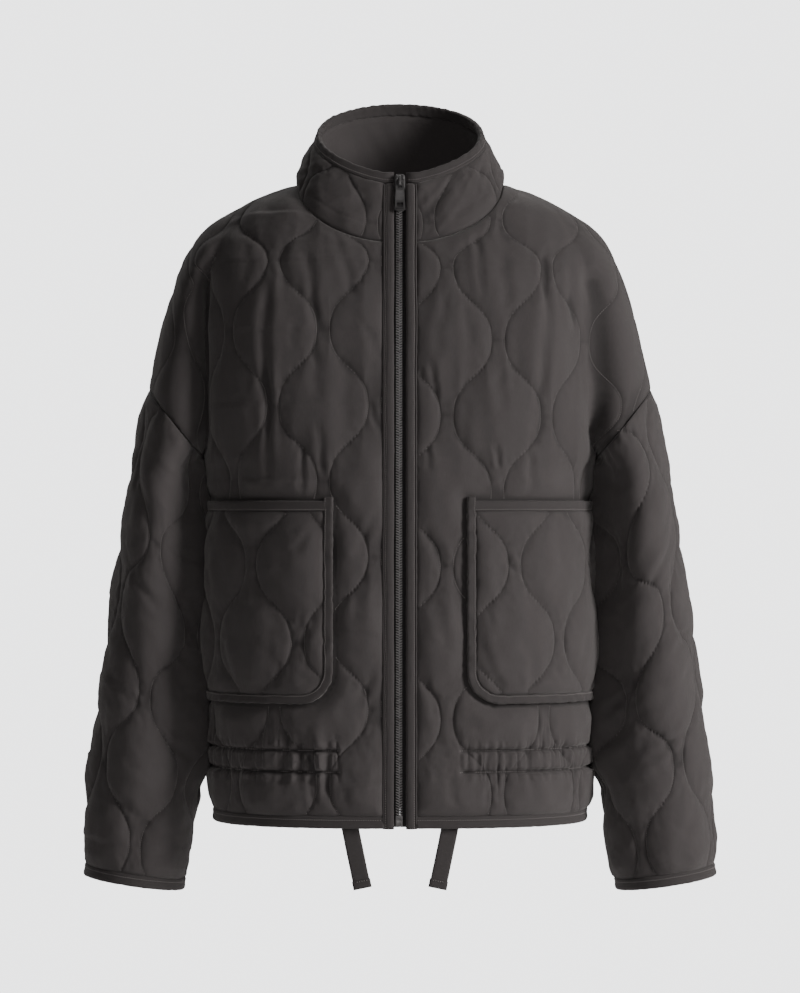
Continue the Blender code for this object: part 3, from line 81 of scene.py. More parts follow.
# %% Shader maths
class Shade:
    """A socket in a material; + - * with numbers or other sockets make Math nodes."""

    def __init__(self, tree, socket):
        self.tree, self.socket = tree, socket

    def math(self, kind, *others):
        node = self.tree.nodes.new("ShaderNodeMath")
        node.operation = kind
        for i, value in enumerate((self, *others)):
            if isinstance(value, Shade):
                self.tree.links.new(value.socket, node.inputs[i])
            else:
                node.inputs[i].default_value = value
        return Shade(self.tree, node.outputs[0])

    def number(self, value):
        node = self.tree.nodes.new("ShaderNodeValue")
        node.outputs[0].default_value = value
        return Shade(self.tree, node.outputs[0])

    def __add__(self, other):
        return self.math("ADD", other)

    def __mul__(self, other):
        return self.math("MULTIPLY", other)

    def __sub__(self, other):
        return self.math("SUBTRACT", other)

    def __rsub__(self, other):
        return self.number(other).math("SUBTRACT", self)

    __radd__, __rmul__ = __add__, __mul__

    def node(self, kind, out=0, settings=(), **inputs):
        """Any other node, with this socket as its first input unless `inputs` names one."""
        made = self.tree.nodes.new(kind)
        for name, value in settings:
            setattr(made, name, value)
        if self.socket is not None and not any(isinstance(v, Shade) and v is self for v in inputs.values()):
            self.tree.links.new(self.socket, made.inputs[0])
        for name, value in inputs.items():
            socket = made.inputs[name.replace("_", " ")]
            if isinstance(value, Shade):
                self.tree.links.new(value.socket, socket)
            else:
                socket.default_value = value
        return Shade(self.tree, made.outputs[out])


def start_material(name):
    material = bpy.data.materials.new(name)
    material.use_nodes = True
    tree = material.node_tree
    return material, tree, tree.nodes["Principled BSDF"]


def set_inputs(surface, **values):
    for name, value in values.items():
        surface.inputs[name.replace("_", " ")].default_value = value


def drive(tree, surface, tone, colour, rough, bump):
    """Links a toned colour, a roughness, and a bump of (strength, distance, height)."""
    red, green, blue = (tone * part for part in colour)
    shade = Shade(tree, None).node("ShaderNodeCombineXYZ", X=red, Y=green, Z=blue)
    strength, distance, height = bump
    raised = Shade(tree, None).node("ShaderNodeBump", Strength=strength, Distance=distance * MM, Height=height)
    for socket, value in (("Base Color", shade), ("Roughness", rough), ("Normal", raised)):
        tree.links.new(value.socket, surface.inputs[socket])


print("materials: tone, roughness and bump on one Principled BSDF")

# %% [markdown]
# The floor is pale and wide and lies well below the jacket, with a faint glow so that it matches the air
# around. The air is bright only where the camera sees it, or it would wash out the dark cloth.

# %% Floor and surroundings
FLOOR_Z, FLOOR_HALF, FLOOR_BACK = -1.25, 2.6, 2.4
PAPER, FLOOR_ROUGH, FLOOR_GLOW = (0.78, 0.78, 0.78, 1), 0.9, 0.3
BACKDROP, SURROUND = 3.1, 0.03
AIR = (0.985, 0.99, 1.0, 1)
mesh = bpy.data.meshes.new("floor")
corners = ((-1, -FLOOR_HALF), (1, -FLOOR_HALF), (1, FLOOR_BACK), (-1, FLOOR_BACK))
mesh.from_pydata([(x * FLOOR_HALF, y, FLOOR_Z) for x, y in corners], [], [(0, 1, 2, 3)])
material, _, surface = start_material("pale_floor")
set_inputs(surface, Base_Color=PAPER, Roughness=FLOOR_ROUGH, Emission_Color=PAPER, Emission_Strength=FLOOR_GLOW)
mesh.materials.append(material)
floor = new_object("floor", mesh)
world = bpy.data.worlds.new("studio")
bpy.context.scene.world = world
world.use_nodes = True
tree = world.node_tree
seen = Shade(tree, tree.nodes.new("ShaderNodeLightPath").outputs["Is Camera Ray"])
background = tree.nodes["Background"]
background.inputs["Color"].default_value = AIR
strength = seen * (BACKDROP - SURROUND) + SURROUND
tree.links.new(strength.socket, background.inputs["Strength"])
print("floor at", FLOOR_Z, "m, backdrop strength", BACKDROP)

# %% [markdown]
# The key is a tall soft box to the right of the front, so that the quilting reads as light and shade. A weak
# one in front keeps the shaded sleeve readable, and a strip behind picks out the shoulders.

# %% Lights
LIGHTS = {  # place and the point it faces, in metres; its size, in metres; its power, in watts
    "key_light": ((3.1, -1.75, 0.85), (0, 0, -0.35), (0.9, 1.6), 160),
    "fill_light": ((-0.2, -3.9, 0.6), (0, 0, -0.35), (1.4, 1.8), 27),
    "back_light": ((-0.6, 2.2, 1.8), (0, 0, -0.2), (2.4, 1.0), 25),
}
for name, (place, towards, size, power) in LIGHTS.items():
    lamp = bpy.data.lights.new(name, "AREA")
    lamp.shape, lamp.size, lamp.size_y, lamp.energy = "RECTANGLE", *size, power
    box = new_object(name, lamp)
    box.location = place
    box.rotation_euler = (Vector(towards) - Vector(place)).to_track_quat("-Z", "Y").to_euler()

# %% [markdown]
# The body is a stack of level sections, and the arm is another. Above the underarm the body's cloth runs over
# the arm, with a fold between them, since the shoulder seam drops low. A box could be sculpted, but tables keep
# to the sizes of the solids and give every flat point one place on the form.

# %% Sizes of the form
SEAM = 0.3
WALL = 3.0
HEM_Z = -597.0
BIND, BIND_OUT, BIND_IN = 10.0, 1.6, 4.4
UNDERARM_X, UNDERARM_Z = 187.0, -262.0
ARMHOLE_TOP_X, ARMHOLE_TOP_Z = 240.0, -197.0
CUFF_OUTER_X, CUFF_OUTER_Z, CUFF_INNER_X, CUFF_INNER_Z = 300.0, -650.0, 207.0, -664.0
SLEEVE_GIRTH, SLEEVE_LENGTH = 380.0, 430.0
NECK_HALF_WIDTH, NECK_FRONT_Z, NECK_BACK_Z = 98.0, -61.0, -8.0
EDGE_X = 15.0
TORSO = dict(
    z=(-620, -597, -535, -400, -300, -285, -272, -262, -160, -100, -62, -40, -20, -8, 0),
    half=(177, 178, 181, 183, 181, 181.5, 183.5, 187, 188, 190, 188, 170, 140, 114, 98),
    front=(136, 138, 138, 136, 133, 132, 132, 131, 122, 112, 94, 83, 72, 62, 54),
    back=(124, 126, 124, 122, 120, 120, 120, 119, 117, 112, 100, 92, 83, 75, 67),
    square=(2.6, 2.6, 2.6, 2.6, 2.5, 2.4, 2.35, 2.3, 2.5, 2.5, 2.3, 2.2, 2.1, 2.0, 2.0),
    chest_half=(177, 178, 181, 183, 181, 181.5, 183.5, 187, 183, 184, 188, 170, 140, 114, 98),
    chest_square=(2.6, 2.6, 2.6, 2.6, 2.55, 2.55, 2.6, 2.7, 3.4, 3.2, 2.4, 2.2, 2.1, 2.0, 2.0),
)
ARM = dict(
    z=(-680, -658, -581, -466, -389, -312, -290, -280, -270, -262, -258, -250, -235, -197, -139, -101, -62, -43,
       -24, -8, 0),
    inner=(209, 205, 197, 197, 197, 197, 197, 196, 193, 187.2, 184, 178, 168, 160, 158, 150, 120, 90, 60, 50, 50),
    chest_inner=(209, 205, 197, 197, 197, 197, 197, 196, 193, 187.2, 184, 178, 172, 176, 178, 176, 150, 100, 60,
                 50, 50),
    outer=(300, 300, 296, 282, 271, 260, 257, 255, 253, 252, 251, 249, 247, 240, 227, 216, 200, 185, 157, 125, 98),
    deep=(50, 52, 59, 68, 74, 79, 80, 80, 80, 80, 80, 80, 79, 76, 70, 63, 52, 44, 33, 20, 8),
    forward=(16, 15, 11, 6, 3, 1, 0, 0, 0, 0, 0, 0, 0, 0, 0, 0, 0, 0, 0, 0, 0),
)
print("sections: torso", len(TORSO["z"]), "arm", len(ARM["z"]))

# %% Reading the tables
def along_table(table, column, z):
    """A column of a section table at the heights z, on a smooth curve through its rows that never overshoots."""
    at, value = np.array(table["z"], float), np.array(table[column], float)
    slope = np.diff(value) / np.diff(at)
    tangent = np.zeros_like(value)
    before, after = slope[:-1], slope[1:]
    same_way = before * after > 0
    tangent[1:-1] = np.where(same_way, 2 * before * after / np.where(same_way, before + after, 1), 0)
    tangent[0], tangent[-1] = slope[0], slope[-1]
    z = np.clip(z, at[0], at[-1])
    i = np.clip(np.searchsorted(at, z, side="right") - 1, 0, len(at) - 2)
    span = at[i + 1] - at[i]
    t = (z - at[i]) / span
    return (value[i] * (1 + 2 * t) * (1 - t) ** 2 + tangent[i] * span * t * (1 - t) ** 2
            + value[i + 1] * t * t * (3 - 2 * t) - tangent[i + 1] * span * t * t * (1 - t))


def arm_inner(z, side, tuck):
    plain = along_table(ARM, "inner", z)
    return np.where(np.asarray(side) < 0, plain + tuck * (along_table(ARM, "chest_inner", z) - plain), plain)


print("armhole's top:", float(along_table(ARM, "outer", ARMHOLE_TOP_Z)), "mm out")


# %% Paths
def run_length(path):
    return np.concatenate([[0], np.cumsum(np.linalg.norm(np.diff(path, axis=0), axis=1))])


def on_path(path, along, at):
    """Points of a path at the lengths `at`, when its own points lie at the lengths `along`."""
    return np.stack([np.interp(at, along, path[:, k]) for k in range(path.shape[1])], 1)


def unit(v):
    return v / np.maximum(np.linalg.norm(v, axis=-1, keepdims=True), 1e-9)


def ramp(x, wide):
    """A straight ramp: 0 below 0, and 1 from `wide` on."""
    return np.clip(x / wide, 0, 1)


def ease(t):
    """A soft step: 0 at 0, 1 at 1, level at both ends."""
    return t * t * (3 - 2 * t)


print("ease at a quarter:", round(ease(0.25), 3))


# %% Level sections
class BodyForm:
    """Half of the front or back: level sections from the centre line to the side seam, or on over the arm. A point
    on it is (distance along the section, height)."""

    SAMPLES, ROUNDING, FILLING = 320, 3.2, 26.0

    def __init__(self, depth, side, tuck=1.0):
        self.side, self.tuck = side, tuck
        self.heights = np.arange(HEM_Z - 20, 0.01, 1.0)
        sections = [self.section(z, depth) for z in self.heights]
        self.points, self.length, self.fold = (np.array([s[i] for s in sections]) for i in range(3))

    def section(self, z, depth):
        own = "chest_" if depth == "front" else ""
        half, deep, square = (float(along_table(TORSO, c, z)) for c in (own + "half", depth, own + "square"))
        outer, arm_deep = (float(along_table(ARM, c, z)) for c in ("outer", "deep"))
        inner = float(arm_inner(z, self.side, self.tuck))
        angle = np.linspace(math.pi / 2, 0, 400)
        x, y = half * np.cos(angle) ** (2 / square), deep * np.abs(np.sin(angle)) ** (2 / square)
        path, fold_at, soften = np.stack([x, y], 1), None, 1.0
        if z > UNDERARM_Z:
            soften = min(max((z - UNDERARM_Z) / 30, 0.15), 1)
            middle, wide = (inner + outer) / 2, (outer - inner) / 2
            over_arm = np.linspace(math.pi, 0, 400)
            arm_path = np.stack([middle + wide * np.cos(over_arm), arm_deep * np.sin(over_arm)], 1)
            in_arm = ((x - middle) / wide) ** 2 + (y / arm_deep) ** 2 < 1
            in_body = (arm_path[:, 0] / half) ** square + (arm_path[:, 1] / deep) ** square < 1
            if (~in_body).any() and in_arm.any():
                chest = path[: int(np.argmax(in_arm))]
                fold_at = float(run_length(chest)[-1]) if len(chest) > 1 else 0.0
                path = np.concatenate([chest, arm_path[int(np.argmax(~in_body)):]])
        path, long = self.rounded(path, self.ROUNDING * soften)
        if fold_at is not None and self.tuck < 1:
            path, long = self.filled(path, long, fold_at, z)
        return path, long, long if fold_at is None else fold_at

    def filled(self, path, long, fold_at, z):
        share = min(max((z - UNDERARM_Z - 5) / 60, 0), 1) * min(max((-70 - z) / 50, 0), 1) * (1 - self.tuck)
        soft, _ = self.rounded(path, 0.5 + self.FILLING * share)
        along = np.linspace(0, long, self.SAMPLES)
        near = np.exp(-(((along - fold_at) / 45) ** 2)) * ramp(long - along, 35) * min(1, 3 * share)
        near = near[:, None]
        return self.even(path * (1 - near) + soft * near)

    def even(self, path):
        along = run_length(path)
        at = np.linspace(0, along[-1], self.SAMPLES)
        return np.stack([np.interp(at, along, path[:, k]) for k in (0, 1)], 1), float(along[-1])

    def rounded(self, path, rounding):
        path, long = self.even(path)
        step = long / (self.SAMPLES - 1)
        reach = int(3 * rounding / step) + 1
        weight = np.exp(-0.5 * (np.arange(-reach, reach + 1) * step / rounding) ** 2)
        weight /= weight.sum()
        padded = np.concatenate([path[1 : reach + 1][::-1] * [-1, 1], path, path[-reach - 1 : -1][::-1] * [1, -1]])
        return self.even(np.stack([np.convolve(padded[:, k], weight, "valid") for k in (0, 1)], 1))

    def row(self, values, z):
        return np.interp(z, self.heights, values)

    def end(self, z):
        return float(self.row(self.length, z))

    def place(self, u, z):
        u, z = np.asarray(u, float), np.asarray(z, float)
        i = np.clip(z - self.heights[0], 0, len(self.heights) - 1.001)
        low = i.astype(int)
        share = (i - low)[..., None]
        found = []
        for row in (low, low + 1):
            at = np.clip(u / self.length[row], 0, 1) * (self.SAMPLES - 1)
            j = np.clip(at.astype(int), 0, self.SAMPLES - 2)
            f = (at - j)[..., None]
            found.append(self.points[row, j] * (1 - f) + self.points[row, j + 1] * f)
        xy = found[0] * (1 - share) + found[1] * share
        return np.stack([xy[..., 0], self.side * xy[..., 1], z], -1)

    def u_at_x(self, x, z, past_fold=False):
        i = int(round(z - self.heights[0]))
        section, at = self.points[i], np.linspace(0, self.length[i], self.SAMPLES)
        first = 0
        if past_fold:
            first = int(np.argmin(section[:, 0] * (at > 0.3 * at[-1]) + 1e3 * (at <= self.fold[i])))
        return float(np.interp(x, np.maximum.accumulate(section[first:, 0]), at[first:]))


TUCK_LEFT, TUCK_RIGHT = 0.35, 1.0
FRONT, BACK = BodyForm("front", -1, TUCK_LEFT), BodyForm("back", 1)
FRONT_RIGHT = BodyForm("front", -1, TUCK_RIGHT)
HEM_ROUND = 2 * float(FRONT.length[20] + BACK.length[20])
print("front sections:", len(FRONT.heights), "round the hem:", round(HEM_ROUND), "mm")

# %% [markdown]
# A flat piece is laid on the form: across it is the way along a section, and up it is the height. Above the
# chest the cloth leans back over the shoulder, so it is longer than it is high.

# %% Laying flat cloth on the form
SLOPE_FROM, SLOPE = -90.0, 1.5


def drape(z):
    return np.where(z > SLOPE_FROM, SLOPE_FROM + (z - SLOPE_FROM) * SLOPE, z)


def undrape(v):
    return np.where(v > SLOPE_FROM, SLOPE_FROM + (v - SLOPE_FROM) / SLOPE, v)


def body_place(form):
    def place(flat):
        points = form.place(np.abs(flat[:, 0]), undrape(flat[:, 1]))
        points[:, 0] *= np.where(flat[:, 0] < 0, -1, 1)
        return points

    return place


def normals_of(place, flat, step=0.5):
    across = place(flat + [step, 0]) - place(flat - [step, 0])
    return unit(np.cross(across, place(flat + [0, step]) - place(flat - [0, step])))


def lift_body(form):
    place = body_place(form)

    def lift(flat, height):
        return place(flat) - form.side * normals_of(place, flat) * np.reshape(height, (-1, 1))

    return lift


print("shoulder's flat height:", float(drape(0.0)), "mm")

# %% [markdown]
# Wavy stitch lines run down each flat piece, each the mirror of the next, which leaves rows of onion shapes. A
# displaced grid would blur them, so the cloth's points follow the lines: each is a clean valley, and the
# wadding lifts the cloth between them.

# %% Quilting sizes
LINE_GAP, LINE_SWING, LINE_PERIOD = 48.0, 18.0, 141.0
PUFF = 6.0
MOST_GAP = LINE_GAP + 2 * LINE_SWING
COLUMNS = 26
ROW = 2.8
EDGE_STEP = 2.6
print("shapes:", LINE_GAP - 2 * LINE_SWING, "to", MOST_GAP, "mm wide")


# %% Edges of a flat piece
@functools.lru_cache(maxsize=None)
def edge_tree(outline, step=0.5):
    path = np.array(outline + outline[:1])
    along = run_length(path)
    at = np.arange(0, along[-1], step)
    tree = KDTree(len(at))
    for i, (u, v) in enumerate(zip(np.interp(at, along, path[:, 0]), np.interp(at, along, path[:, 1]))):
        tree.insert((u, v, 0), i)
    tree.balance()
    return tree


def edge_distance(points, outline):
    tree = edge_tree(tuple((float(u), float(v)) for u, v in outline))
    return np.array([tree.find((u, v, 0))[2] for u, v in np.atleast_2d(points)])


def inside(points, outline, margin=0.0):
    p = np.atleast_2d(np.asarray(points, float))
    a = np.asarray(outline, float)
    b = np.roll(a, -1, axis=0)
    rise = np.where(b[:, 1] == a[:, 1], 1e-9, b[:, 1] - a[:, 1])
    odd = np.zeros(len(p), bool)
    for start in range(0, len(p), 4000):
        q = p[start : start + 4000, None]
        crossing = (a[:, 1] > q[..., 1]) != (b[:, 1] > q[..., 1])
        at_x = a[:, 0] + (q[..., 1] - a[:, 1]) * (b[:, 0] - a[:, 0]) / rise
        odd[start : start + 4000] = (crossing & (q[..., 0] < at_x)).sum(1) % 2 == 1
    if margin:
        odd[odd] = edge_distance(p[odd], outline) >= margin
    return odd


def spaced(start, end, step):
    """Even steps from the start up to the end, which belongs to the next run."""
    count = max(1, int(round(abs(end - start) / step)))
    return [start + (end - start) * i / count for i in range(count)]


square = [(0, 0), (100, 0), (100, 100), (0, 100)]
print("from a square's middle to its edge:", edge_distance([(50, 50)], square)[0].round(), "mm")


# %% Triangles
def triangulate(outline, points):
    """Triangles inside a flat outline, whose own vertices come first and in order."""
    flat = [Vector(p) for p in (*outline, *points)]
    found, _, faces, origin, _, _ = delaunay_2d_cdt(flat, [], [list(range(len(outline)))], 1, 1e-5)
    first = {}
    for i, ids in enumerate(origin):
        for original in ids:
            if original < len(outline):
                first[i] = original
    used = sorted({i for face in faces for i in face})
    rim = sorted((first[i], i) for i in used if i in first)
    assert len(rim) == len(outline), "an outline vertex was lost"
    order = [i for _, i in rim] + [i for i in used if i not in first]
    position = {i: n for n, i in enumerate(order)}
    return np.array([found[i] for i in order], float), [tuple(position[i] for i in face) for face in faces]


def cut_cloth(quilting, outline, margin, columns=None, row=None):
    return triangulate(outline, quilting.cloth_points(lambda p: inside(p, outline, margin), columns, row))


print("triangles:", len(triangulate(square, [(50, 50)])[1]))


# %% Quilting lines
class Quilting:
    def __init__(self, start, neck_at, left, right, low, high, period=LINE_PERIOD, seed=0.0, fine=()):
        self.start, self.neck_at, self.period, self.seed = start, neck_at, period, seed
        first, last = math.floor((left - start) / LINE_GAP), math.ceil((right - start) / LINE_GAP)
        self.numbers = np.arange(first - 1, last + 2)
        self.low, self.high, self.fine = low, high, fine

    def lines_at(self, v):
        turn = 2 * math.pi * (np.asarray(v, float) - self.neck_at) / self.period
        wave = np.tanh(1.1 * np.cos(turn)) / math.tanh(1.1)
        sign = np.where(self.numbers % 2 == 0, 1.0, -1.0)
        return self.start + self.numbers * LINE_GAP + sign * LINE_SWING * wave[..., None]

    def cloth_points(self, keep, columns=None, row=None):
        """Points in rows, closer together beside the stitch lines and beside the heights in `fine`."""
        fine, reach = () if row else self.fine, 8.0
        columns, row = columns or COLUMNS, row or ROW
        j = np.arange(columns) / columns
        shares = 0.4 * j + 0.6 * (1 - np.cos(math.pi * j)) / 2
        v = np.arange(self.low + row / 2, self.high, row)
        for at in fine:
            v = np.sort(np.concatenate([v[np.abs(v - at) > reach], at + np.arange(-reach, reach + 0.1, row / 2.3)]))
        lines = self.lines_at(v)
        across = lines[:, :-1, None] + (lines[:, 1:] - lines[:, :-1])[..., None] * shares
        points = np.stack([across, np.broadcast_to(v[:, None, None], across.shape)], -1)
        near = np.array([min((abs(z - at) for at in fine), default=99) <= reach for z in v])
        between = (points[near, :, 1:] + points[near, :, :-1]) / 2
        points = np.concatenate([points.reshape(-1, 2), between.reshape(-1, 2)])
        return [tuple(p) for p in points[keep(points)]]

    def cell(self, points):
        """Each point's share across its shape, the shape's width there, and which shape it is."""
        rows = self.lines_at(points[:, 1])
        k = np.clip((rows <= points[:, :1] + 1e-6).sum(1) - 1, 0, len(self.numbers) - 2)
        pick = np.arange(len(points))
        left, right = rows[pick, k], rows[pick, k + 1]
        return np.clip((points[:, 0] - left) / (right - left), 0, 1), right - left, k

    def on_line(self, points):
        share = self.cell(points)[0]
        return np.minimum(share, 1 - share) < 0.004

    def height(self, points):
        share, wide, k = self.cell(points)
        shape = np.where(k % 2 == 0, 0.0, 0.5)
        number = np.floor((points[:, 1] - self.neck_at) / self.period + shape)
        fullness = 1 + 0.16 * np.sin(12.9 * k + 78.2 * number + self.seed)
        return PUFF * fullness * (wide / MOST_GAP) ** 0.8 * (4 * share * (1 - share)) ** 0.55

    def stitch_lines(self, keep, step=0.5):
        v = np.arange(self.low, self.high, step)
        grid, runs = self.lines_at(v), []
        for k in range(len(self.numbers)):
            line = np.stack([grid[:, k], v], 1)
            good = keep(line)
            cuts = np.flatnonzero(np.diff(good.astype(int))) + 1
            parts = zip(np.split(line, cuts), np.split(good, cuts))
            runs += [run for run, kept in parts if kept[0] and len(run) > 8]
        return runs


print("one wave:", LINE_PERIOD, "mm")


# %% Unevenness
def ripple(flat, wide, tall, seed, detail=1):
    """Smooth unevenness between -1 and 1 over a flat piece, with its own size across and down."""
    total = np.zeros(len(flat))
    for octave in range(detail):
        k = 2.0**octave
        offset = Vector((seed, octave * 7.3, seed * 1.7))
        total += np.array([noise.noise(Vector((u * k / wide, v * k / tall, 0.0)) + offset) for u, v in flat]) / k
    return total


print("ripple:", ripple(np.array([[10.0, 20.0]]), 30, 60, 1.0).round(3))

# %% [markdown]
# The shell is a dull, close cotton in a warm charcoal, with a slight slub and faint rubbing where the wadding
# pushes it out. A flat colour would look like plastic, so weave, slubs and fuzz move the tone, the roughness
# and the bump. Bindings are a shade darker, and the lining is smoother.

# %% Woven cloth
def cloth_material(name, colour, thread=0.42, slub=0.16, bump=0.16, rough=0.86, sheen=0.22, painted_valley_shade=0.0):
    """A woven cloth on the UV map "cut". `fullness` is 0 in a stitch line and 1 on top of the wadding.
    `painted_valley_shade` paints shade into the colour where fullness is near 0: stitch valleys, seams, crease
    bottoms."""
    material, tree, surface = start_material(name)
    cut = Shade(tree, None).node("ShaderNodeUVMap", settings=[("uv_map", "cut")])
    across = cut.node("ShaderNodeSeparateXYZ")
    down = cut.node("ShaderNodeSeparateXYZ", out=1)
    turn = 2 * math.pi / (thread * MM)
    weave = (across * turn).math("SINE") * (down * turn).math("SINE")
    cloudy = cut.node("ShaderNodeTexNoise", Scale=14.0, Detail=3.0, Roughness=0.55)
    stretched = cut.node("ShaderNodeMapping", Scale=(900.0, 160.0, 1.0))
    slubs = stretched.node("ShaderNodeTexNoise", Scale=1.0, Detail=2.0)
    fuzz = cut.node("ShaderNodeTexNoise", Scale=1500.0, Detail=2.0, Roughness=0.7)
    full = Shade(tree, None).node("ShaderNodeAttribute", out=2, settings=[("attribute_name", "fullness")])
    tone = 1.0 + (cloudy - 0.5) * slub + (slubs - 0.5) * 0.22 + (fuzz - 0.5) * 0.34 + weave * 0.03 + full * 0.10
    # Painted shade: the tone is darkened where fullness is near 0, in stitch valleys, at seams and in crease
    # bottoms.
    tone = tone - (1.0 - full.math("MULTIPLY", 6.0).math("MINIMUM", 1.0)) * painted_valley_shade
    relief = weave * 0.4 + slubs * 0.8 + fuzz * 0.9
    drive(tree, surface, tone, colour, rough + (fuzz - 0.5) * 0.2, (0.55, bump, relief))
    set_inputs(surface, Specular_IOR_Level=0.22, Sheen_Weight=sheen, Sheen_Roughness=0.45,
               Sheen_Tint=(0.85, 0.80, 0.77, 1))
    return material


CHARCOAL = (0.0530, 0.0462, 0.0455)
TRIM_COLOUR = (0.0440, 0.0382, 0.0376)
LINING_COLOUR = (0.0400, 0.0350, 0.0345)
THREAD_COLOUR = (0.230, 0.2060, 0.2000)
# The shell gets painted shade in its stitch valleys, seams and crease bottoms.
SHELL = cloth_material("shell_cotton", CHARCOAL, painted_valley_shade=0.35)
BINDING = cloth_material("binding_cotton", TRIM_COLOUR, slub=0.1, rough=0.8)
LINING = cloth_material("lining_cotton", LINING_COLOUR, thread=0.3, bump=0.08)
THREAD = cloth_material("sewing_thread", THREAD_COLOUR, thread=0.25, slub=0.05, rough=0.7, sheen=0.1)
print("cloths:", [m.name for m in (SHELL, BINDING, LINING, THREAD)])

# %% [markdown]
# The fronts and the back run from neck to hem with a dropped armhole. Their outlines are read off the form, so
# that neighbours meet along every seam.

# %% Neckline
ARMHOLE_RISE = (ARMHOLE_TOP_Z - UNDERARM_Z) / (ARMHOLE_TOP_X - UNDERARM_X)
ARMHOLE_NORMAL = np.array([-ARMHOLE_RISE, 0, 1]) / math.hypot(ARMHOLE_RISE, 1)
ARMHOLE_POINT = np.array([UNDERARM_X, 0, UNDERARM_Z])
NECK_STEPS = 40


def neckline(form):
    drop = NECK_BACK_Z if form is BACK else NECK_FRONT_Z
    start = math.pi / 2 if form is BACK else math.acos(EDGE_X / NECK_HALF_WIDTH)
    turn = np.linspace(start, 0, NECK_STEPS)
    heights = [(NECK_HALF_WIDTH * math.cos(t), drop * math.sin(t)) for t in turn]
    points = [(form.u_at_x(x, z), z) for x, z in heights]
    points[-1] = (form.end(0.0), 0.0)
    return points


print("neckline drops", -NECK_FRONT_Z, "mm in front")


# %% Outlines of the body's pieces
def body_outline(form):
    neck = neckline(form)
    start = neck[0][0]
    runs = [("centre", [(start, z) for z in spaced(HEM_Z, neck[0][1], EDGE_STEP)]), ("neck", neck)]
    shoulder = spaced(-4, ARMHOLE_TOP_Z, 2 * EDGE_STEP)
    runs.append(("side", [(form.end(z), z) for z in shoulder]))
    armhole = []
    for angle in np.linspace(0, math.pi, 61)[:-1]:
        x = (ARMHOLE_TOP_X + UNDERARM_X) / 2 + (ARMHOLE_TOP_X - UNDERARM_X) / 2 * math.cos(angle)
        z = UNDERARM_Z + (x - UNDERARM_X) * ARMHOLE_RISE
        u = form.end(z) if angle == 0 else form.u_at_x(x, z, past_fold=True)
        armhole.append((u, z))
    runs.append(("armhole", armhole))
    side_z = [UNDERARM_Z, UNDERARM_Z - 4] + spaced(UNDERARM_Z - 8, HEM_Z, EDGE_STEP)
    runs.append(("side", [(form.end(z), z) for z in side_z]))
    end = form.end(HEM_Z)
    runs.append(("hem", [(u, HEM_Z) for u in spaced(end, start, EDGE_STEP)]))
    outline = [(u, float(drape(z))) for _, points in runs for u, z in points]
    seams = [seam for seam, points in runs for _ in points]
    at = len(runs[0][1]) + len(neck) + len(shoulder)
    seams[at], seams[at + len(armhole)] = "top", "underarm"
    seams[at + len(armhole) + len(side_z)] = "hem side"
    seams[0] = "hem"
    return outline, seams


def back_outline():
    half, seams = body_outline(BACK)
    first = seams.index("neck")
    half, seams = half[first:] + [(0.0, HEM_Z)], seams[first:] + ["hem"]
    return half + [(-u, v) for u, v in half[1:-1]][::-1], seams + seams[1:-1][::-1]


print("outline points:", len(body_outline(FRONT)[0]), len(back_outline()[0]))

# %% [markdown]
# Two pieces that are sewn together meet in one plane with a hair's gap. At the underarm three seams meet in one
# corner, which faces down.

# %% Edges in their seams
def set_edges(seams, points, side, outer=True):
    """Moves each edge point into the plane of the seam it belongs to, half a seam back."""
    for i, seam in enumerate(seams):
        sign = math.copysign(1, points[i, 0])
        if seam == "centre":
            points[i, 0] = sign * EDGE_X
        if "hem" in seam:
            points[i, 2] = HEM_Z
        if seam in ("side", "hem side", "top"):
            points[i, 1] = side * SEAM / 2
        if seam in ("armhole", "top"):
            p = points[i] * [sign, 1, 1]
            p += ARMHOLE_NORMAL * (SEAM / 2 - (p - ARMHOLE_POINT) @ ARMHOLE_NORMAL)
            points[i] = p * [sign, 1, 1]
        if seam == "underarm":
            points[i] = underarm_corner(sign, side, outer, SEAM / 2)


def underarm_corner(sign, side, outer, offset):
    """Where side seam, sleeve seam and armhole meet, the cloth faces down."""
    p = ARMHOLE_POINT + ARMHOLE_NORMAL * offset
    if not outer:
        p = p + ([0.4, 0, WALL] if offset > 0 else [0, 0, WALL] - ARMHOLE_NORMAL * (WALL * ARMHOLE_NORMAL[2]))
    return np.array([sign * p[0], side * SEAM / 2, p[2]])


def keep_off_armhole(points, first, above):
    mirrored = points[first:] * [1, 0, 1]
    mirrored[:, 0] = np.abs(mirrored[:, 0])
    height = (mirrored - ARMHOLE_POINT) @ ARMHOLE_NORMAL
    short = np.maximum(0.4 - height, 0) if above else np.minimum(-0.4 - height, 0)
    short = np.where((mirrored[:, 0] > UNDERARM_X - 1.0) & (np.abs(height) < 6), short, 0)
    points[first:, 0] += short * ARMHOLE_NORMAL[0] * np.sign(points[first:, 0])
    points[first:, 2] += short * ARMHOLE_NORMAL[2]


print("armhole leans", round(math.degrees(math.atan(ARMHOLE_RISE))), "degrees")

# %% [markdown]
# Cloth that puffs into a fold or a seam would push through its neighbour, so it is calmed in the armpit, and
# the wadding thins out towards each seam.

# %% Calm places
def crease_points(form):
    z = np.arange(UNDERARM_Z + 2, -96, 8.0)
    points = form.place(form.row(form.fold, z), z)
    low = np.arange(UNDERARM_Z - 24, UNDERARM_Z + 1, 8.0)
    return np.concatenate([points, np.stack([low * 0 + UNDERARM_X, low * 0, low], 1)])


ARMPITS = {form: crease_points(form) for form in (FRONT, FRONT_RIGHT, BACK)}


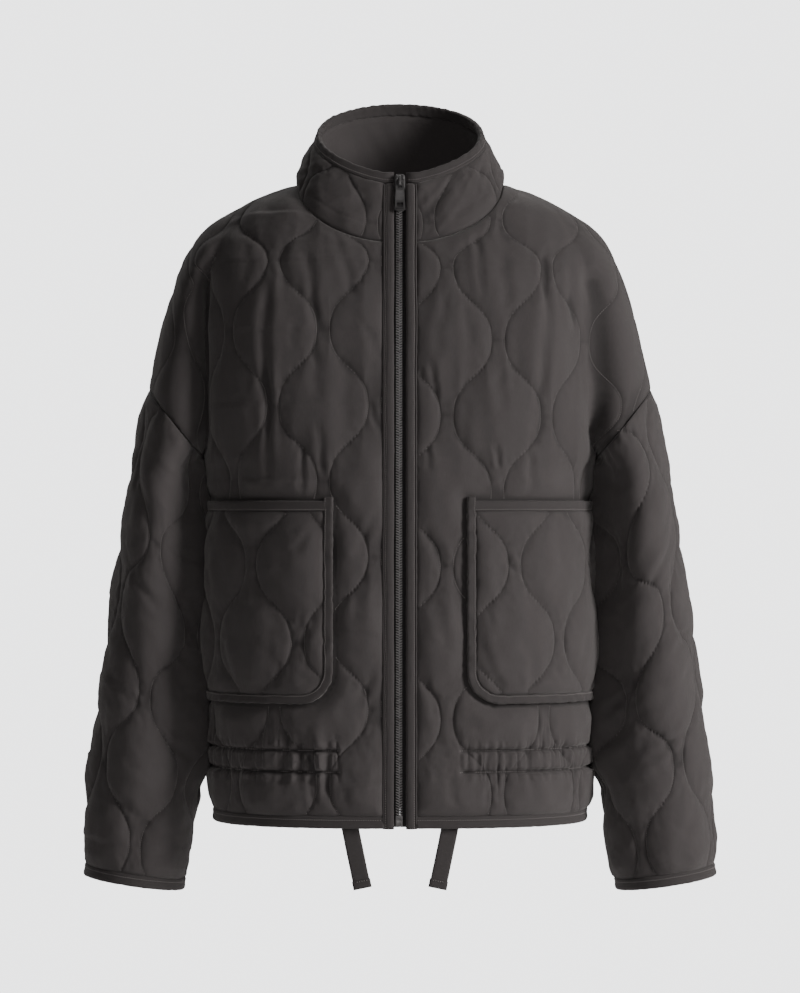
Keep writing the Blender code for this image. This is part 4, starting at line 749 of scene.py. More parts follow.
def calm(points, form):
    mirrored = np.abs(points[:, :1]) * [1, 0, 0] + points * [0, 1, 1]
    near = np.full(len(points), 1e9)
    for crease in ARMPITS[form]:
        near = np.minimum(near, np.linalg.norm(mirrored - crease, axis=1))
    return ease(ramp(near - 3, 17))


def seam_rise(flat, outline, reach=13.0):
    """The wadding is caught in the seams too: 0 on the edge of a piece, 1 away from it."""
    return np.clip(edge_distance(flat, outline) / reach, 0, 1) ** 0.55


print("armpit points:", len(ARMPITS[FRONT]))

# %% [markdown]
# A padded wall is two skins sewn together round their rim. Solidify would give both the same shape, but the
# lining has no quilting. The map "cut" keeps each point's place on the flat piece for the weave, and the
# shading breaks along a stitch line, as the cloth does.

# %% Finishing a mesh
def in_metres(points, mirrored):
    return points * ([-MM, MM, MM] if mirrored else MM)


def turn_outwards(mesh):
    shape = bmesh.new()
    shape.from_mesh(mesh)
    bmesh.ops.recalc_face_normals(shape, faces=shape.faces)
    if shape.calc_volume(signed=True) < 0:
        bmesh.ops.reverse_faces(shape, faces=shape.faces)
    shape.to_mesh(mesh)
    shape.free()


def on_jacket(name, mesh, node):
    mesh.shade_smooth()
    piece = new_object(name, mesh)
    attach(piece, "jacket")
    if node:
        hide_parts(node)
    return piece


print("a mirrored point:", in_metres(np.array([100.0, 0, 0]), True))


# %% A padded wall
def declare_cut(piece, outline):
    p = np.array(outline) * MM
    width, length = (float(v) for v in p.max(0) - p.min(0))
    print(piece.name, "cut", round(width * 1000), "x", round(length * 1000), "mm, faces", len(piece.data.polygons))


def sewn_piece(name, outline, outer, inner, mirrored=False, lining=LINING):
    """One padded wall from two skins: points, faces, flat points, and outside also height and stitch lines."""
    points, rim, shift = in_metres(np.concatenate([outer[0], inner[0]]), mirrored), len(outline), len(outer[0])
    faces = [tuple(f) for f in outer[1]] + [tuple(i + shift for i in reversed(f)) for f in inner[1]]
    faces += [(j, i, i + shift, j + shift) for i, j in zip(range(rim), [*range(1, rim), 0])]
    mesh = bpy.data.meshes.new(name + "_quilted")
    mesh.from_pydata([tuple(p) for p in points], [], faces)
    mesh.materials.append(SHELL)
    mesh.materials.append(lining)
    kinds = np.zeros(len(faces), int)
    kinds[len(outer[1]) : len(outer[1]) + len(inner[1])] = 1
    mesh.polygons.foreach_set("material_index", kinds)
    flat = np.concatenate([outer[2], inner[2]]) * MM
    corners = np.zeros(len(mesh.loops), int)
    mesh.loops.foreach_get("vertex_index", corners)
    mesh.uv_layers.new(name="cut").data.foreach_set("uv", flat[corners].ravel())
    full = np.concatenate([np.clip(outer[3] / PUFF, 0, 1), np.full(len(inner[0]), 0.5)])
    mesh.attributes.new("fullness", "FLOAT", "POINT").data.foreach_set("value", full)
    turn_outwards(mesh)
    piece = on_jacket(name + "_quilted", mesh, name)
    ends = np.zeros(2 * len(mesh.edges), int)
    mesh.edges.foreach_get("vertices", ends)
    valley = np.concatenate([outer[4], np.zeros(len(inner[0]), bool)])
    sharp = mesh.attributes.new("sharp_edge", "BOOLEAN", "EDGE")
    sharp.data.foreach_set("value", valley[ends].reshape(-1, 2).all(1))
    declare_cut(piece, outline)


print("wall:", WALL, "mm")

# %% [markdown]
# Stitches: short pointed threads that dip into the cloth at both ends. A bump map could only draw them. All
# those of a panel are joined into one piece.

# %% One row of threads
STITCH_PITCH, STITCH_LONG, THREAD_HALF = 2.2, 1.35, 0.34
STITCH_DIP, STITCH_RISE = 0.35, 0.12


def stitches(name, starts, ends, outward, mirrored=False):
    """One four-sided thread from each start to each end, which stands out in the middle. Sizes in millimetres."""
    forward = unit(ends - starts)
    aside = unit(np.cross(forward, outward))
    points = [starts - outward * STITCH_DIP]
    for share in (0.28, 0.72):
        centre = starts + (ends - starts) * share + outward * STITCH_RISE
        points += [centre + (aside * a + outward * o) * THREAD_HALF for a, o in ((1, 0), (0, 1), (-1, 0), (0, -1))]
    points.append(ends - outward * STITCH_DIP)
    points = in_metres(np.stack(points, 1).reshape(-1, 3), mirrored)
    turns = [(j, (j + 1) % 4) for j in range(4)]
    tips = np.array([(0, 1 + k, 1 + j) for j, k in turns] + [(5 + j, 5 + k, 9) for j, k in turns])
    sides = np.array([(1 + j, 1 + k, 5 + k, 5 + j) for j, k in turns])
    first = np.arange(len(starts))[:, None, None] * 10
    faces = (first + tips).reshape(-1, 3).tolist() + (first + sides).reshape(-1, 4).tolist()
    if mirrored:
        faces = [face[::-1] for face in faces]
    mesh = bpy.data.meshes.new(name)
    mesh.from_pydata(points.tolist(), [], faces)
    corners = np.concatenate([np.array(face) for face in faces])
    uv = np.stack([corners % 10 // 4 * 0.6, corners % 10 % 4 * 0.4 + corners // 10 * 0.37], 1) * MM
    mesh.uv_layers.new(name="cut").data.foreach_set("uv", uv.ravel())
    mesh.materials.append(THREAD)
    print(name, len(starts), "stitches")
    return on_jacket(name, mesh, None)


print("thread:", STITCH_LONG, "mm every", STITCH_PITCH, "mm")


# %% Where stitches fall
def stitch_run(row):
    along = run_length(row)
    starts = np.arange(STITCH_PITCH / 2, along[-1] - STITCH_PITCH, STITCH_PITCH)
    return [on_path(row, along, at) for at in (starts, starts + STITCH_LONG)]


def sew(name, rows, surface, outward, mirrored=False):
    runs = [stitch_run(row) for row in rows if run_length(row)[-1] > 3 * STITCH_PITCH]
    starts, ends = (np.concatenate([run[k] for run in runs]) for k in (0, 1))
    return stitches(name, surface(starts), surface(ends), outward((starts + ends) / 2), mirrored)


print("stitches in 100 mm:", len(stitch_run(np.array([[0.0, 0], [100, 0]]))[0]))

# %% [markdown]
# The drawcord's channel above the hem is sewn with two rows. The cord draws the cloth in, so it gathers in
# uneven groups, with puckers a little above and below. A simulation would gather it by chance; a height laid
# over the flat piece puts the gathers where the cord pulls.

# %% Gathers
CHANNEL_TOP, CHANNEL_LOW, CHANNEL_FROM = -535.0, -555.0, 54.0
CHANNEL = (CHANNEL_TOP, CHANNEL_LOW)


def gathers(flat, height, whole_way, seed, tight=1.0):
    """Lays the channel's gathers over a piece's height. `whole_way`: the channel crosses the middle too.
    `tight`: how far the cord is drawn in."""
    u, v = flat[:, 0], flat[:, 1]
    middle, half = (CHANNEL_TOP + CHANNEL_LOW) / 2, (CHANNEL_TOP - CHANNEL_LOW) / 2
    along = np.ones(len(u)) if whole_way else ramp(np.abs(u) - CHANNEL_FROM, 5)
    away = np.abs(v - middle) - half
    groups = (0.85 + 0.65 * np.clip(ripple(flat, 46, 400, seed + 3) + 0.35, 0, 1)) * tight
    folds = ripple(flat, 7.5, 70, seed, 2)
    within = ramp(-away, 3.5) ** 0.5
    reach = np.where(v > middle, 15.0, 11.0) * (0.6 + 0.6 * groups)
    wedge = np.abs(ripple(flat, 12.0, 150.0, seed + 8)) / (0.05 + 0.09 * np.exp(-np.abs(away) / 5.0))
    nips = np.exp(-wedge * wedge) * np.exp(-np.abs(away) / (0.75 * reach))
    fine = ripple(flat, 3.8, 60.0, seed + 11) * np.exp(-np.abs(away) / 4.5) * (1 - np.exp(-np.abs(away) / 1.2))
    inner = within * (0.9 + 3.4 * folds * groups) + 0.6 * height
    outside = np.exp(-np.clip(away, 0, 99) / reach) * (1 - np.exp(-np.clip(away, 0, 99) / 2.2))
    near_row = 1 - np.exp(-((away / 1.9) ** 2))
    blended = np.where(away < 0, inner * near_row, height * near_row + 4.2 * outside * folds * groups)
    blended += 2.6 * tight * fine - 2.6 * nips * groups * (0.35 + 0.65 * near_row)
    return height + (blended - height) * along * np.clip(1 - (np.abs(away) - 30) / 15, 0, 1)


def drawn_in(flat, whole_way):
    v = flat[:, 1]
    along = 1.0 if whole_way else ramp(np.abs(flat[:, 0]) - CHANNEL_FROM, 8)
    near = sum(np.exp(-(((v - row) / 2.4) ** 2)) for row in CHANNEL)
    return -0.9 * near * along


print("channel:", CHANNEL_TOP - CHANNEL_LOW, "mm high")

# %% [markdown]
# The front is left flat and unsewn where a pocket lies on it, so the pockets' outlines come first. The inner
# lower corner is round, and the outer one hardly so.

# %% Pocket outlines
POCKET_IN, POCKET_SIDE_GAP = 61.0, 9.0
POCKET_TOP, POCKET_LOW = -302.0, -493.0
POCKET_ROUND_IN, POCKET_ROUND_OUT = 32.0, 18.0
POCKET_BIND_TOP, POCKET_BIND_SIDE = 10.0, 9.0
POCKET_STEP = 2.4


def quarter(middle, radius, start, steps):
    angles = (start + np.linspace(0, 1, steps + 1)) * math.pi / 2
    return [(middle[0] + radius * math.cos(t), middle[1] + radius * math.sin(t)) for t in angles]


def pocket_outlines():
    left, right = POCKET_IN, FRONT.end(POCKET_TOP) - POCKET_SIDE_GAP
    top, low = POCKET_TOP, POCKET_LOW
    middle_in = (left + POCKET_ROUND_IN, low + POCKET_ROUND_IN)
    middle_out = (right - POCKET_ROUND_OUT, low + POCKET_ROUND_OUT)

    def along_the_top(u, z):
        across, down = spaced(right, u, POCKET_STEP), spaced(z, middle_in[1], POCKET_STEP)
        return [(x, z) for x in across] + [(u, y) for y in down]

    def round_the_bottom(inset):
        path = quarter(middle_in, POCKET_ROUND_IN - inset, 2, 16)
        path += [(u, low + inset) for u in spaced(path[-1][0], middle_out[0], POCKET_STEP)[1:]]
        return path + quarter(middle_out, POCKET_ROUND_OUT - inset, 3, 10)

    seam_z = top - POCKET_BIND_TOP
    seam = along_the_top(left + POCKET_BIND_SIDE, seam_z) + round_the_bottom(POCKET_BIND_SIDE)
    side = [(right, z) for z in spaced(middle_out[1], seam_z, POCKET_STEP)]
    edge = along_the_top(left, top) + round_the_bottom(0)
    return seam + side, edge, edge + side[1:] + [(right, seam_z)]


POCKET_CLOTH, POCKET_EDGE, POCKET_WHOLE = pocket_outlines()
print("pocket", round(POCKET_CLOTH[0][0] - POCKET_IN), "x", round(POCKET_TOP - POCKET_LOW), "mm")

# %% [markdown]
# The main creases are soft troughs, listed one by one. The chest falls in upright folds, pull lines slant up from
# the zip, and short deep ones end at the pocket tops. No two panels have the same ones.

# %% Creases of the body
CREASES_LEFT = [  # x and z at the top, x and z at the low end, width, depth
    (73, -52, 75, -112, 4.5, 2.2), (96, -72, 98, -126, 7.0, 2.0), (136, -66, 133, -206, 5.5, 3.0),
    (27, -172, 35, -207, 4.0, 2.2), (18, -176, 21, -190, 3.0, 1.6), (42, -112, 33, -170, 6.5, 1.6),
    (92, -182, 94, -220, 6.0, 1.3), (89, -250, 91, -273, 3.2, 2.6), (122, -258, 120, -299, 5.0, 2.8),
    (25, -252, 27, -276, 3.5, 1.7), (57, -205, 60, -262, 7.5, 1.4), (112, -130, 111, -190, 8.0, 1.3),
    (158, -80, 163, -150, 6.0, 1.8), (60, -120, 64, -160, 5.0, 0.9),
    (24, -330, 44, -372, 6.0, 1.8), (30, -392, 48, -450, 7.0, 1.6), (22, -470, 35, -505, 5.0, 1.4),
    (45, -560, 52, -588, 4.0, 1.3), (84, -566, 79, -592, 4.5, 1.5), (120, -562, 125, -590, 5.0, 1.3),
]
CREASES_RIGHT = [
    (124, -98, 127, -214, 6.5, 3.4), (88, -70, 77, -140, 5.5, 2.6), (99, -136, 100, -162, 5.0, 1.3),
    (154, -204, 153, -262, 9.0, 1.8), (121, -178, 123, -296, 5.5, 2.6), (90, -252, 91, -301, 3.4, 3.0),
    (76, -228, 71, -280, 4.5, 2.0), (64, -48, 43, -112, 5.5, 1.7), (33, -138, 16, -174, 4.5, 1.8),
    (28, -212, 17, -241, 4.0, 1.6), (166, -262, 160, -286, 4.0, 1.5), (80, -155, 79, -212, 6.0, 1.6),
    (143, -60, 142, -100, 5.5, 1.6), (52, -160, 50, -240, 8.0, 1.1), (110, -60, 106, -110, 6.0, 1.2),
    (22, -312, 38, -352, 5.0, 1.5), (30, -372, 46, -420, 7.0, 1.7), (20, -452, 40, -492, 6.0, 1.6),
    (52, -566, 47, -590, 4.0, 1.4), (96, -560, 101, -590, 5.0, 1.5), (136, -566, 131, -588, 4.5, 1.2),
]
CREASES_BACK = [
    (-132, -60, -128, -190, 7.0, 2.6), (-84, -90, -90, -170, 6.0, 2.0), (-30, -50, -24, -130, 8.0, 1.6),
    (38, -70, 34, -180, 7.0, 2.0), (92, -56, 97, -150, 6.0, 2.4), (140, -90, 136, -220, 6.5, 2.8),
    (-60, -200, -52, -290, 7.0, 1.6), (8, -190, 4, -260, 8.0, 1.4), (70, -230, 76, -320, 7.0, 1.7),
    (-118, -250, -112, -350, 6.0, 1.9), (120, -300, 112, -380, 7.0, 1.5), (-20, -330, -30, -400, 8.0, 1.4),
    (-150, -400, -130, -450, 6.0, 1.6), (150, -420, 128, -470, 6.0, 1.6), (40, -430, 52, -500, 7.0, 1.4),
    (-70, -440, -84, -505, 7.0, 1.5),
]
print("creases:", len(CREASES_LEFT), len(CREASES_RIGHT), len(CREASES_BACK))


# %% Laying creases
def creases(flat, table, form=None):
    """The troughs' depth at flat points. Each wavers a little, fades at its ends, and pushes up a low ridge."""
    total = np.zeros(len(flat))
    for n, (x0, z0, x1, z1, wide, deep) in enumerate(table):
        if form is not None:
            x0, x1 = (math.copysign(form.u_at_x(abs(x), z), x) for x, z in ((x0, z0), (x1, z1)))
            z0, z1 = float(drape(z0)), float(drape(z1))
        way = np.array([x1 - x0, z1 - z0])
        long = np.linalg.norm(way)
        way = way / long
        off = flat - [x0, z0]
        t = off @ way / long
        waver = 0.16 * wide * np.sin(5.1 * t + n) + 0.12 * wide * np.sin(11.3 * t + 2.7 * n)
        d = (off @ [-way[1], way[0]] + waver) / (0.72 * wide)
        ends = ease(ramp(t + 0.08, 0.3) * ramp(1.08 - t, 0.3))
        total += 0.64 * deep * ends * (0.38 * np.exp(-((np.abs(d) - 2.0) ** 2)) - np.exp(-d * d))
    return total


print("deepest crease:", max(deep for *_, deep in CREASES_LEFT), "mm")

# %% [markdown]
# How far the cloth stands out is a sum of what such cloth does: wadding, puckers, crumples, soft folds and
# creases. Each has its own size, so no single noise has to look like all of them.

# %% Soft height
def soft_height(flat, outline, quilting, seed, chest=1.0, table=(), form=None):
    share, wide, _ = quilting.cell(flat)
    beside = np.minimum(share, 1 - share) * wide
    pucker = np.exp(-beside / 7.0) * (1 - np.exp(-beside / 1.4)) * ripple(flat, 7.0, 7.0, seed + 1)
    crumple = (1 - np.exp(-beside / 5.0)) * ripple(flat, 22.0, 26.0, seed + 2, 3)
    folds = 0.55 - 1.7 * np.abs(ripple(flat, 30.0, 230.0, seed + 4, 2)) ** 0.8
    phase = (flat[:, 1] - quilting.neck_at) / (quilting.period / 2)
    from_neck = np.abs(phase - np.round(phase)) * quilting.period / 2
    pinch = np.exp(-((wide - 12) / 9.0) ** 2 - (from_neck / 2.6) ** 2)
    upper = ramp(flat[:, 1] + 330, 80) * chest
    rise = seam_rise(flat, outline)
    if form is not None:
        v = flat[:, 1]
        past = np.clip((np.abs(flat[:, 0]) - form.row(form.fold, undrape(v)) - 4) / 25, 0, 1) * (v > UNDERARM_Z)
        rise = rise * (1 - 0.45 * past)
    height = quilting.height(flat) * (1 - 0.3 * upper) - 0.5 * pinch
    height += (1.5 - 0.6 * upper) * pucker + (1.5 - 0.9 * upper) * crumple
    height += (0.4 + 0.7 * upper) * folds * (1 - 0.5 * np.exp(-beside / 4.0))
    if len(table):
        height += creases(flat, table, form) * (1 - 0.25 * np.exp(-beside / 2.0))
    return height * rise


print("wadding:", PUFF, "mm high between the widest lines")

# %% [markdown]
# One body panel: the flat piece is cut, laid on the form at its height, joined to a lining that sags a little,
# and sewn.

# %% Body panels
SKINS = {False: [], True: []}  # the body's outer skin on each side, which the sleeve presses against
LINING_COLUMNS, LINING_ROW, LINING_MARGIN = 6, 7.0, 4.0


def lining_sag(flat, outline, seed, least):
    return np.clip(edge_distance(flat, outline) / 10, 0, 1) * (least + ripple(flat, 30, 60, seed + 9, 2))


def outward_on(lift):
    return lambda p: unit(lift(p, 1.0) - lift(p, 0.0))


def body_panel(name, form, outline, seams, quilting, seed, table, mirrored=False):
    lift, place, whole_way, rim = lift_body(form), body_place(form), form is BACK, len(outline)
    tight = 0.55 if form is FRONT else 1.0

    def height_of(points):
        height = soft_height(points, outline, quilting, seed, table=table, form=form) * calm(place(points), form)
        height = gathers(points, height, whole_way, seed + 5, tight)
        if not whole_way:
            off = edge_distance(points, POCKET_WHOLE)
            covered = inside(points, POCKET_WHOLE) | (off < 2.5)
            height = np.where(covered, 0, height * ramp(off - 2.5, 12) ** 0.6)
        return np.maximum(height, -2.4) + drawn_in(points, whole_way)

    flat, faces = cut_cloth(quilting, outline, 1.6)
    height = height_of(flat)
    height[:rim] = drawn_in(flat[:rim], whole_way)
    outer = lift(flat, height)
    inner_flat, inner_faces = cut_cloth(quilting, outline, LINING_MARGIN, LINING_COLUMNS, LINING_ROW)
    sag = lining_sag(inner_flat, outline, seed, 1.0)
    inner = lift(inner_flat, drawn_in(inner_flat, whole_way) - WALL - sag)
    for skin, is_outer in ((outer, True), (inner, False)):
        set_edges(seams, skin, form.side, is_outer)
        keep_off_armhole(skin, rim, True)
    for right in (False, True) if whole_way else (mirrored,):
        turned = outer * [-1 if whole_way and right else 1, 1, 1]
        SKINS[right].append(BVHTree.FromPolygons(turned.tolist(), faces))
    in_row = (np.abs(flat[:, 1:] - [CHANNEL]) < 0.01).any(1)
    sewn = quilting.on_line(flat) | in_row & ((np.abs(flat[:, 0]) > CHANNEL_FROM) | whole_way)
    sewn_piece(name, outline, (outer, faces, flat, height, sewn), (inner, inner_faces, inner_flat), mirrored)

    def sewable(points):
        v, u = points[:, 1], np.abs(points[:, 0])
        channel = (v < CHANNEL_TOP + 1) & (v > CHANNEL_LOW - 1) & ((u > CHANNEL_FROM) | whole_way)
        good = inside(points, outline, 2.0) & ~channel
        return good if whole_way else good & ~inside(points, POCKET_WHOLE)

    rows = quilting.stitch_lines(sewable)
    end = form.end(CHANNEL_TOP) - 2
    for v in CHANNEL:
        u = np.arange(-end if whole_way else CHANNEL_FROM, end, 0.5)
        rows.append(np.stack([u, u * 0 + v], 1))
    sew(name + "_stitches", rows, lambda p: lift(p, height_of(p)), outward_on(lift), mirrored)


print("lining rows", LINING_ROW, "mm apart")


# %% Fronts and back
FLAT_TOP = 60.0


def body_quilting(form, start, neck_at, seed):
    reach = float(form.length.max())
    return Quilting(start, neck_at, -reach if form is BACK else 0, reach, HEM_Z, FLAT_TOP, seed=seed, fine=CHANNEL)


body_panel("front_left", FRONT, *body_outline(FRONT), body_quilting(FRONT, 19.5, -224.0, 1.0), 3.1, CREASES_LEFT)
body_panel("front_right", FRONT_RIGHT, *body_outline(FRONT_RIGHT), body_quilting(FRONT_RIGHT, -0.3, -214.0, 4.0),
           11.7, CREASES_RIGHT, True)
body_panel("back", BACK, *back_outline(), body_quilting(BACK, -24.0, -220.0, 7.0), 23.9, CREASES_BACK)
print("skins:", {side: len(skins) for side, skins in SKINS.items()})

# %% [markdown]
# Sleeves: an oval tube each, cut slanting at the armhole, with its seam inside the arm. A bent cylinder would
# be quicker, but the seams have to meet, so a flat piece is rolled round the arm's own sections.

# %% A sleeve's tube
TURN_STEPS = 64


def arm_at(column, z):
    return along_table(ARM, column, z)


def sleeve_place(flat, tuck=1.0):
    """Flat points are (round the arm from its outside, minus the way down); minus is the front."""
    share = np.clip(np.abs(flat[:, 0]) / (SLEEVE_GIRTH / 2), 0, 1)
    side, along = np.where(flat[:, 0] < 0, -1, 1), -flat[:, 1] / SLEEVE_LENGTH
    outer_z = ARMHOLE_TOP_Z + (CUFF_OUTER_Z - ARMHOLE_TOP_Z) * along
    inner_z = UNDERARM_Z + (CUFF_INNER_Z - UNDERARM_Z) * along
    middle_z = (outer_z + inner_z) / 2
    wide, deep = (arm_at("outer", middle_z) - arm_at("inner", middle_z)) / 2, arm_at("deep", middle_z)
    turn = np.linspace(0, math.pi, TURN_STEPS + 1)
    steps = np.hypot(wide[:, None] * np.diff(np.cos(turn)), deep[:, None] * np.diff(np.sin(turn)))
    length = np.concatenate([np.zeros((len(wide), 1)), np.cumsum(steps, axis=1)], 1)
    length /= length[:, -1:]
    i = np.clip((length <= share[:, None]).sum(1) - 1, 0, TURN_STEPS - 1)
    pick = np.arange(len(share))
    part = (share - length[pick, i]) / (length[pick, i + 1] - length[pick, i])
    angle = turn[i] + part * (turn[1] - turn[0])
    z = outer_z + (inner_z - outer_z) * (1 - np.cos(angle)) / 2
    outer, inner = arm_at("outer", z), arm_inner(z, side, tuck)
    x = (outer + inner) / 2 + (outer - inner) / 2 * np.cos(angle)
    return np.stack([x, side * arm_at("deep", z) * np.sin(angle) - arm_at("forward", z), z], 1)


def turned_to(normal, way):
    return normal * np.sign((normal * way).sum(1, keepdims=True))


def lift_sleeve(flat, height, tuck=1.0):
    def place(points):
        return sleeve_place(points, tuck)

    limit = SLEEVE_GIRTH / 2 - 0.6
    probe = np.stack([np.clip(flat[:, 0], -limit, limit), flat[:, 1]], 1)
    on = place(probe)
    z = on[:, 2]
    axis = np.stack([(arm_at("outer", z) + arm_at("inner", z)) / 2, -arm_at("forward", z), z], 1)
    return place(flat) + turned_to(normals_of(place, probe), on - axis) * np.reshape(height, (-1, 1))


print("cuff's outside:", sleeve_place(np.array([[0.0, -SLEEVE_LENGTH]])).round(1)[0])


# %% A sleeve's edges
CUFF_RISE = (CUFF_OUTER_Z - CUFF_INNER_Z) / (CUFF_OUTER_X - CUFF_INNER_X)
CUFF_NORMAL = np.array([-CUFF_RISE, 0, 1]) / math.hypot(CUFF_RISE, 1)
CUFF_POINT = np.array([CUFF_OUTER_X, 0, CUFF_OUTER_Z])


def set_sleeve_edges(seams, points, outer):
    for i, seam in enumerate(seams):
        side = 1 if "back" in seam else -1
        if "armhole" in seam and "seam" in seam:
            points[i] = underarm_corner(1, side, outer, -SEAM / 2)
            continue
        if "armhole" in seam:
            points[i] -= ARMHOLE_NORMAL * (SEAM / 2 + (points[i] - ARMHOLE_POINT) @ ARMHOLE_NORMAL)
        if "cuff" in seam:
            points[i] -= CUFF_NORMAL * ((points[i] - CUFF_POINT) @ CUFF_NORMAL)
        if "seam" in seam:
            points[i, 1] = side * SEAM / 2 - float(arm_at("forward", points[i, 2]))


print("cuff leans", round(math.degrees(math.atan(CUFF_RISE))), "degrees")

# %% [markdown]
# An empty sleeve leans on the side of the body. Its inner side moves until it touches the body's skin, which a
# ray finds.

# %% Leaning on the body
PRESS_TOP, PRESS_LOW, PRESS, PRESS_GAP = -262.5, -582.0, 20.0, 0.8
LINING_PRESS = 0.45 * PRESS


def pressed_share(flat, points):
    """1 beside the sleeve's seam, where it leans on the body, and 0 in front, behind and at the cuff."""
    t = ramp(np.abs(flat[:, 0]) / (SLEEVE_GIRTH / 2) - 0.66, 0.24)
    z = points[:, 2]
    return ease(t) * ease(ramp(PRESS_TOP - z, 8) * ramp(z - PRESS_LOW, 40))


def lean(points, flat, skins):
    leaning = points.copy()
    wish = PRESS * pressed_share(flat, points)
    for i in np.flatnonzero(wish > 0.01):
        x, y, z = points[i]
        hits = [skin.ray_cast((x + 5, y, z), (-1, 0, 0), 60)[0] for skin in skins]
        wall = max([hit.x for hit in hits if hit is not None], default=0.0) + PRESS_GAP
        leaning[i, 0] = max(x - wish[i], min(wall, x))
    return leaning


print("sleeves lean from", PRESS_TOP, "to", PRESS_LOW, "mm")

# %% [markdown]
# Across the elbow the cloth sags into soft slanting folds, and under the armhole seam it is eased into short
# upright ones.

# %% Building a sleeve
HALF_GIRTH = SLEEVE_GIRTH / 2


def sleeve_outline():
    runs = [("armhole", [(a, 0.0) for a in spaced(-HALF_GIRTH, HALF_GIRTH, EDGE_STEP)]),
            ("back seam", [(HALF_GIRTH, t) for t in spaced(0.0, -SLEEVE_LENGTH, EDGE_STEP)]),
            ("cuff", [(a, -SLEEVE_LENGTH) for a in spaced(HALF_GIRTH, -HALF_GIRTH, EDGE_STEP)]),
            ("front seam", [(-HALF_GIRTH, t) for t in spaced(-SLEEVE_LENGTH, 0.0, EDGE_STEP)])]
    seams = [seam for seam, points in runs for _ in points]
    top, side = len(runs[0][1]), len(runs[1][1])
    seams[0], seams[top] = "armhole front seam", "armhole back seam"
    seams[top + side], seams[2 * top + side] = "cuff back seam", "cuff front seam"
    return [p for _, points in runs for p in points], seams


def build_sleeve(name, form, quilting, seed, table, mirrored):
    outline, seams = sleeve_outline()
    rim, tuck = len(outline), form.tuck

    def height_of(points):
        at_rest = sleeve_place(points, tuck)
        near = calm(at_rest, form) * calm(at_rest, BACK)
        height = soft_height(points, outline, quilting, seed, chest=0.0, table=table)
        slant = np.stack([points[:, 0] + 0.7 * points[:, 1], points[:, 1] - 0.5 * points[:, 0]], 1)
        low_arm = ramp(-points[:, 1] - 60, 120)
        height += 1.5 * ripple(slant, 150.0, 36.0, seed + 6, 2) * low_arm * seam_rise(points, outline, 25)
        eased = np.exp(points[:, 1] / 11.0) * (1 - np.exp(points[:, 1] / 2.5))
        height += 2.6 * eased * ripple(points, 5.5, 60.0, seed + 7) * (np.abs(points[:, 0]) > 70)
        return np.maximum(height * near, -1.6)

    def surface(points, height=None):
        at = lift_sleeve(points, height_of(points) if height is None else height, tuck)
        return lean(at, points, SKINS[mirrored])

    flat, faces = cut_cloth(quilting, outline, 1.6)
    height = height_of(flat)
    height[:rim] = 0
    outer = surface(flat, height)
    inner_flat, inner_faces = cut_cloth(quilting, outline, LINING_MARGIN, LINING_COLUMNS, LINING_ROW)
    inner = lift_sleeve(inner_flat, -WALL - 0.8 * lining_sag(inner_flat, outline, seed, 0.9), tuck)
    inner[:, 0] -= LINING_PRESS * pressed_share(inner_flat, inner)
    for skin, is_outer in ((outer, True), (inner, False)):
        set_sleeve_edges(seams, skin, is_outer)
        keep_off_armhole(skin, rim, False)
    sewn_piece(name, outline, (outer, faces, flat, height, quilting.on_line(flat)),
               (inner, inner_faces, inner_flat), mirrored)
    sew(name + "_stitches", quilting.stitch_lines(lambda p: inside(p, outline, 2.0)), surface,
        outward_on(lambda p, height: lift_sleeve(p, height, tuck)), mirrored)


print("outline points:", len(sleeve_outline()[0]))

# %% Both sleeves
# A crease runs round the arm from its outside, where minus is the front, and down from the armhole.
CREASES_SLEEVE_LEFT = [
    (-120, -6, -112, -34, 3.5, 2.0), (-104, -5, -98, -26, 3.0, 1.7), (-88, -5, -84, -22, 3.0, 1.3),
    (-60, -120, -96, -160, 7.0, 1.8), (-40, -210, -80, -232, 6.0, 1.6), (-110, -236, -150, -268, 6.0, 1.8),
    (-60, -300, -108, -318, 6.0, 1.7), (-120, -350, -160, -372, 6.0, 1.5), (60, -140, 110, -176, 8.0, 2.0),
    (40, -230, 96, -262, 7.0, 1.9), (90, -310, 150, -330, 7.0, 1.7), (10, -330, 30, -372, 7.0, 1.2),
]
CREASES_SLEEVE_RIGHT = [
    (-118, -6, -112, -30, 3.5, 1.8), (-96, -5, -92, -24, 3.0, 1.5), (-50, -40, -64, -84, 5.0, 1.8),
    (-70, -150, -110, -178, 6.0, 1.5), (-50, -250, -96, -276, 6.5, 1.6), (-112, -290, -152, -312, 6.0, 1.5),
    (-66, -360, -112, -380, 6.0, 1.5), (70, -160, 118, -192, 8.0, 2.0), (50, -260, 104, -288, 7.0, 1.8),
    (96, -340, 152, -360, 7.0, 1.6), (0, -180, 14, -240, 8.0, 1.3),
]
SLEEVE_PERIOD = 144.0


def sleeve_quilting(start, seed):
    return Quilting(start, -113.0, -HALF_GIRTH, HALF_GIRTH, -SLEEVE_LENGTH, 0, SLEEVE_PERIOD, seed)


build_sleeve("sleeve_left", FRONT, sleeve_quilting(-146.0, 2.0), 41.3, CREASES_SLEEVE_LEFT, False)
build_sleeve("sleeve_right", FRONT_RIGHT, sleeve_quilting(-119.0, 5.0), 57.9, CREASES_SLEEVE_RIGHT, True)
print("creases:", len(CREASES_SLEEVE_LEFT), len(CREASES_SLEEVE_RIGHT))

# %% [markdown]
# Patch pockets, quilted out of step with the front beneath. Each is a patch of its own with a flat underside,
# so its edge casts a real shadow.

